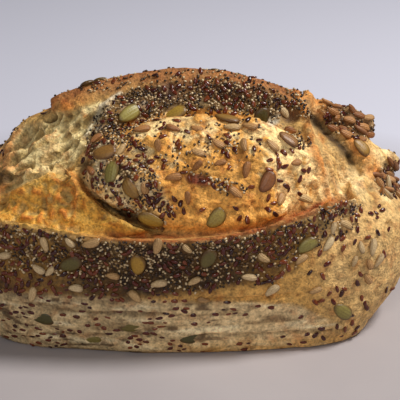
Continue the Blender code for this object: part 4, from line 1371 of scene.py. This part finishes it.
class Sower:
    """Finds places for seeds on the crust and keeps them apart."""

    def __init__(self, crust):
        self.crust = crust
        self.tree = BVHTree.FromPolygons(crust.points.tolist(), crust.quads.tolist())
        self.taken = {}

    def place(self, view, column, row, turn):
        eye, ray, right, up = eye_and_ray(view, column, row)
        spot, _, face, _ = self.tree.ray_cast(Vector(eye), Vector(ray))
        if spot is None or spot.z < LOWEST_SEED:
            return None
        out = self.crust.smooth_normals[self.crust.quads[face]].mean(axis=0)
        out /= np.linalg.norm(out)
        return laid(np.array(spot), heading(right, up, turn), out)

    def claim(self, spot, spacing):
        """True, and takes the spot, unless a seed lies within spacing of it."""
        cell = tuple(np.floor(spot / CLAIM_CELL).astype(int))
        for step in itertools.product((-1, 0, 1), repeat=3):
            for other, reach in self.taken.get(tuple(np.add(cell, step)), ()):
                if np.linalg.norm(spot - other) < (spacing + reach) / 2:
                    return False
        self.taken.setdefault(cell, []).append((spot, spacing))
        return True

    def sow(self, view, share, density, spacing, tilt, seed_number, turn=0.0, turn_spread=180.0, sink=0.0):
        """Places over a view: share says how likely each is, density gives the tries for each square unit,
        and spacing and sink are in millimetres."""
        rng = np.random.default_rng(seed_number)
        tries = int(density * (SOWN_RIGHT - SOWN_LEFT) * (SOWN_BOTTOM - SOWN_TOP))
        column = rng.uniform(SOWN_LEFT, SOWN_RIGHT, tries)
        row = rng.uniform(SOWN_TOP, SOWN_BOTTOM, tries)
        chosen = rng.random(tries) < share(column, row)
        places = []
        for c, r in zip(column[chosen], row[chosen]):
            place = self.place(view, c, r, turn + rng.uniform(-turn_spread, turn_spread))
            lean = rng.normal(0.0, tilt, 2)
            if place and self.claim(place[0], spacing):
                middle, along, side, out = tilted(place, lean)
                places.append((middle - sink * out, along, side, out))
        return places


def tilted(place, lean):
    middle, along, side, out = place
    out = out + lean[0] * along + lean[1] * side
    return laid(middle, along, out / np.linalg.norm(out))


def mesh_object(name, points, faces):
    mesh = bpy.data.meshes.new(name)
    mesh.from_pydata((points * MM).tolist(), [], faces.tolist())
    mesh.shade_smooth()
    obj = bpy.data.objects.new(name, mesh)
    bpy.context.scene.collection.objects.link(obj)
    return obj


def add_attribute(obj, name, values):
    attribute = obj.data.attributes.new(name, "FLOAT", "POINT")
    attribute.data.foreach_set("value", np.asarray(values, np.float32))


def thin_out(obj, triangles):
    """Fewer triangles, spent where the crust bends most."""
    modifier = obj.modifiers.new("Fewer triangles", "DECIMATE")
    modifier.ratio = triangles / (2 * len(obj.data.polygons))
    modifier.use_collapse_triangulate = True
    graph = bpy.context.evaluated_depsgraph_get()
    mesh = bpy.data.meshes.new_from_object(obj.evaluated_get(graph))
    obj.modifiers.clear()
    obj.data = mesh


def add_colours(obj, name, colours):
    attribute = obj.data.attributes.new(name, "FLOAT_COLOR", "POINT")
    rgba = np.ones((len(colours), 4), np.float32)
    rgba[:, :3] = colours
    attribute.data.foreach_set("color", rgba.ravel())


class Nodes:
    """A material's node tree, with short ways to add to it."""

    def __init__(self, name):
        self.material = bpy.data.materials.new(name)
        self.material.use_nodes = True
        self.tree = self.material.node_tree
        self.shader = self.tree.nodes["Principled BSDF"]
        self.place = self.new("ShaderNodeTexCoord").outputs["Object"]

    def new(self, kind, **settings):
        node = self.tree.nodes.new(kind)
        for key, value in settings.items():
            setattr(node, key, value)
        return node

    def link(self, source, target):
        self.tree.links.new(source, target)

    def attribute(self, name, output="Fac"):
        return self.new("ShaderNodeAttribute", attribute_name=name).outputs[output]

    def noise(self, size, detail=3.0, stretch=(1.0, 1.0, 1.0)):
        """Noise whose features are about size metres across."""
        mapping = self.new("ShaderNodeMapping")
        mapping.inputs["Scale"].default_value = stretch
        self.link(self.place, mapping.inputs["Vector"])
        texture = self.new("ShaderNodeTexNoise")
        texture.inputs["Scale"].default_value = 1.0 / size
        texture.inputs["Detail"].default_value = detail
        self.link(mapping.outputs["Vector"], texture.inputs["Vector"])
        return texture.outputs["Fac"]

    def remap(self, value, low, high, new_low=0.0, new_high=1.0):
        node = self.new("ShaderNodeMapRange")
        ends = {"From Min": low, "From Max": high, "To Min": new_low, "To Max": new_high}
        for socket, number in ends.items():
            node.inputs[socket].default_value = number
        self.link(value, node.inputs["Value"])
        return node.outputs["Result"]

    def math(self, operation, a, b):
        node = self.new("ShaderNodeMath", operation=operation)
        for socket, value in zip(node.inputs, (a, b)):
            if isinstance(value, (int, float)):
                socket.default_value = value
            else:
                self.link(value, socket)
        return node.outputs["Value"]

    def mix(self, share, a, b, blend="MIX"):
        node = self.new("ShaderNodeMix", data_type="RGBA", blend_type=blend)
        for socket, value in ((node.inputs["Factor"], share), (node.inputs[6], a), (node.inputs[7], b)):
            if isinstance(value, bpy.types.NodeSocket):
                self.link(value, socket)
            elif isinstance(value, (int, float)):
                socket.default_value = value
            else:
                socket.default_value = (*linear(value), 1.0)
        return node.outputs[2]

    def ramp(self, value, stops):
        node = self.new("ShaderNodeValToRGB")
        elements = node.color_ramp.elements
        while len(elements) < len(stops):
            elements.new(0.5)
        for element, (place, colour) in zip(elements, stops):
            element.position = place
            element.color = (*linear(colour), 1.0)
        self.link(value, node.inputs["Fac"])
        return node.outputs["Color"]

    def bump(self, height, strength, distance):
        node = self.new("ShaderNodeBump")
        node.inputs["Strength"].default_value = strength
        node.inputs["Distance"].default_value = distance
        self.link(height, node.inputs["Height"])
        self.link(node.outputs["Normal"], self.shader.inputs["Normal"])

    def colour(self, socket):
        self.link(socket, self.shader.inputs["Base Color"])


def crust_material():
    nodes = Nodes("crust")
    base = nodes.attribute("paint", "Color")
    grain = nodes.noise(CRUST_GRAIN, 4.0)
    pores = nodes.noise(CRUST_PORES, 3.0)
    blots = nodes.noise(CRUST_BLOTS, 3.0)
    brown = nodes.mix(nodes.remap(blots, 0.52, 0.7, 0.0, 0.45), base, BLOT_BROWN, "MULTIPLY")
    pale = nodes.mix(nodes.remap(blots, 0.46, 0.32, 0.0, 0.3), brown, BLOT_PALE, "SCREEN")
    light = nodes.remap(nodes.math("ADD", grain, pores), 0.72, 1.28, 0.5, 1.46)
    shade = nodes.new("ShaderNodeCombineColor")
    for name in ("Red", "Green", "Blue"):
        nodes.link(light, shade.inputs[name])
    nodes.colour(nodes.mix(1.0, pale, shade.outputs["Color"], "MULTIPLY"))
    rough = nodes.remap(grain, 0.3, 0.7, 0.62, 0.88)
    nodes.link(rough, nodes.shader.inputs["Roughness"])
    nodes.shader.inputs["Specular IOR Level"].default_value = 0.35
    nodes.bump(nodes.math("ADD", grain, nodes.math("MULTIPLY", pores, 1.4)), 0.8, CRUST_BUMP)
    return nodes.material


def seed_material(kind):
    """A seed's skin: its own tone from the stops, finely mottled, darker towards its rim, partly its own rim
    line and partly painted shade.
    """
    stops, rim, roughness, specular, bump, ribs = SKINS[kind.name]
    nodes = Nodes(kind.name + "_seed")
    grain = nodes.noise(SKIN_GRAIN, 3.0)
    lengthwise, crosswise = nodes.attribute("lengthwise"), nodes.attribute("crosswise")
    off_middle = nodes.math("ADD", nodes.math("POWER", lengthwise, 2.0), nodes.math("POWER", crosswise, 2.0))
    edge = nodes.remap(off_middle, 0.45, 0.95, 0.0, rim)
    plain = nodes.ramp(nodes.attribute("tone"), stops)
    skin = nodes.mix(nodes.remap(grain, 0.3, 0.7, 0.0, 0.45), plain, SKIN_SHADE, "MULTIPLY")
    nodes.colour(nodes.mix(edge, skin, SKIN_RIM_AND_SHADE))
    nodes.shader.inputs["Roughness"].default_value = roughness
    nodes.shader.inputs["Specular IOR Level"].default_value = specular
    lines = nodes.math("SINE", nodes.math("MULTIPLY", crosswise, RIB_TURNS), 0.0)
    nodes.bump(nodes.math("ADD", grain, nodes.math("MULTIPLY", lines, ribs)), bump, SKIN_BUMP)
    return nodes.material


def floor_material():
    nodes = Nodes("floor")
    veins = nodes.noise(FLOOR_VEINS, 4.0)
    distance = nodes.new("ShaderNodeVectorMath", operation="LENGTH")
    nodes.link(nodes.place, distance.inputs[0])
    far = nodes.remap(distance.outputs["Value"], FLOOR_NEAR, FLOOR_FAR)
    near = nodes.mix(nodes.remap(veins, 0.35, 0.65), FLOOR_WARM, FLOOR_LIGHT)
    nodes.colour(nodes.mix(far, near, FLOOR_COOL))
    nodes.shader.inputs["Roughness"].default_value = 0.6
    nodes.shader.inputs["Specular IOR Level"].default_value = 0.25
    return nodes.material


def add_light(name, spot, size, power, colour):
    data = bpy.data.lights.new(name, "AREA")
    data.shape = "DISK"
    data.size = size
    data.energy = power
    data.color = colour
    light = bpy.data.objects.new(name, data)
    light.location = spot
    light.rotation_euler = (Vector(LAMP_AIM) - Vector(spot)).to_track_quat("-Z", "Y").to_euler()
    light.visible_camera = False
    bpy.context.scene.collection.objects.link(light)


def add_stage():
    corners = np.array([(-1, -1, 0), (1, -1, 0), (1, 1, 0), (-1, 1, 0)]) * FLOOR_HALF
    floor = mesh_object("floor", corners, np.array([(0, 1, 2, 3)]))
    floor.data.materials.append(floor_material())
    for lamp in LAMPS:
        add_light(*lamp)
    world = bpy.data.worlds.new("studio")
    world.use_nodes = True
    background = world.node_tree.nodes["Background"]
    background.inputs["Color"].default_value = (*linear(WORLD), 1.0)
    background.inputs["Strength"].default_value = WORLD_STRENGTH
    bpy.context.scene.world = world
    bpy.context.scene.view_settings.view_transform = "Standard"


def add_camera():
    eye, ray, _, _ = eye_and_ray("front", VIEW_MIDDLE, VIEW_MIDDLE)
    data = bpy.data.cameras.new("camera")
    data.sensor_width = SENSOR_WIDTH
    data.lens = SENSOR_WIDTH * VIEW_LENS / (2 * VIEW_MIDDLE)
    data.clip_start, data.clip_end = 0.01, 20.0
    camera = bpy.data.objects.new("camera", data)
    camera.location = Vector(eye) * MM
    camera.rotation_euler = Vector(ray).to_track_quat("-Z", "Y").to_euler()
    bpy.context.scene.collection.objects.link(camera)
    bpy.context.scene.camera = camera


def add_loaf():
    crust = Crust()
    loaf_object = mesh_object("crust", crust.points, crust.quads)
    add_colours(loaf_object, "paint", crust_colours(crust))
    thin_out(loaf_object, CRUST_TRIANGLES)
    loaf_object.data.materials.append(crust_material())
    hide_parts("loaf")
    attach(loaf_object, "root")
    return crust


def settled(place):
    """A seed's place, sunk deeper where it is baked into the lower wall."""
    middle, along, side, out = place
    column, row = front_view(middle[None, :])
    sunk = FOOT_SINK * foot_share(column, row)[0] * fade(250.0, 320.0, column[0])
    return middle - sunk * (out[1] < FRONT_SIDE) * out, along, side, out


def add_seeds(crust):
    sower = Sower(crust)
    large = {"pumpkin": [], "sunflower": []}
    for kind, place in seed_places(sower.tree):
        large[kind].append(settled(place))
        sower.claim(place[0], SEED_LENGTHS[kind] * CLAIM_SHARE)
    large["sunflower"] += sower.sow("front", clump_seeds, 0.05, 3.6, 0.6, 51, turn=-18.0, turn_spread=30.0)
    flax = sower.sow("front", front_flax, 0.06, 2.35, 0.22, 31)
    flax += sower.sow("front", foot_flax, 0.04, 2.4, 0.16, 33, turn_spread=22.0, sink=0.68)
    flax += sower.sow("back", back_flax, 0.022, 2.6, 0.2, 32)
    chia = sower.sow("front", front_chia, 0.62, 0.98, 0.35, 41)
    chia += sower.sow("back", back_chia, 0.12, 1.25, 0.35, 42)
    for kind, places in (
        (PUMPKIN, large["pumpkin"]), (SUNFLOWER, large["sunflower"]), (FLAX, flax), (CHIA, chia),
    ):
        seeds = seeds_object(kind, places, len(places))
        seeds.data.materials.append(seed_material(kind))
        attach(seeds, "root")


add_camera()
add_stage()
add_seeds(add_loaf())
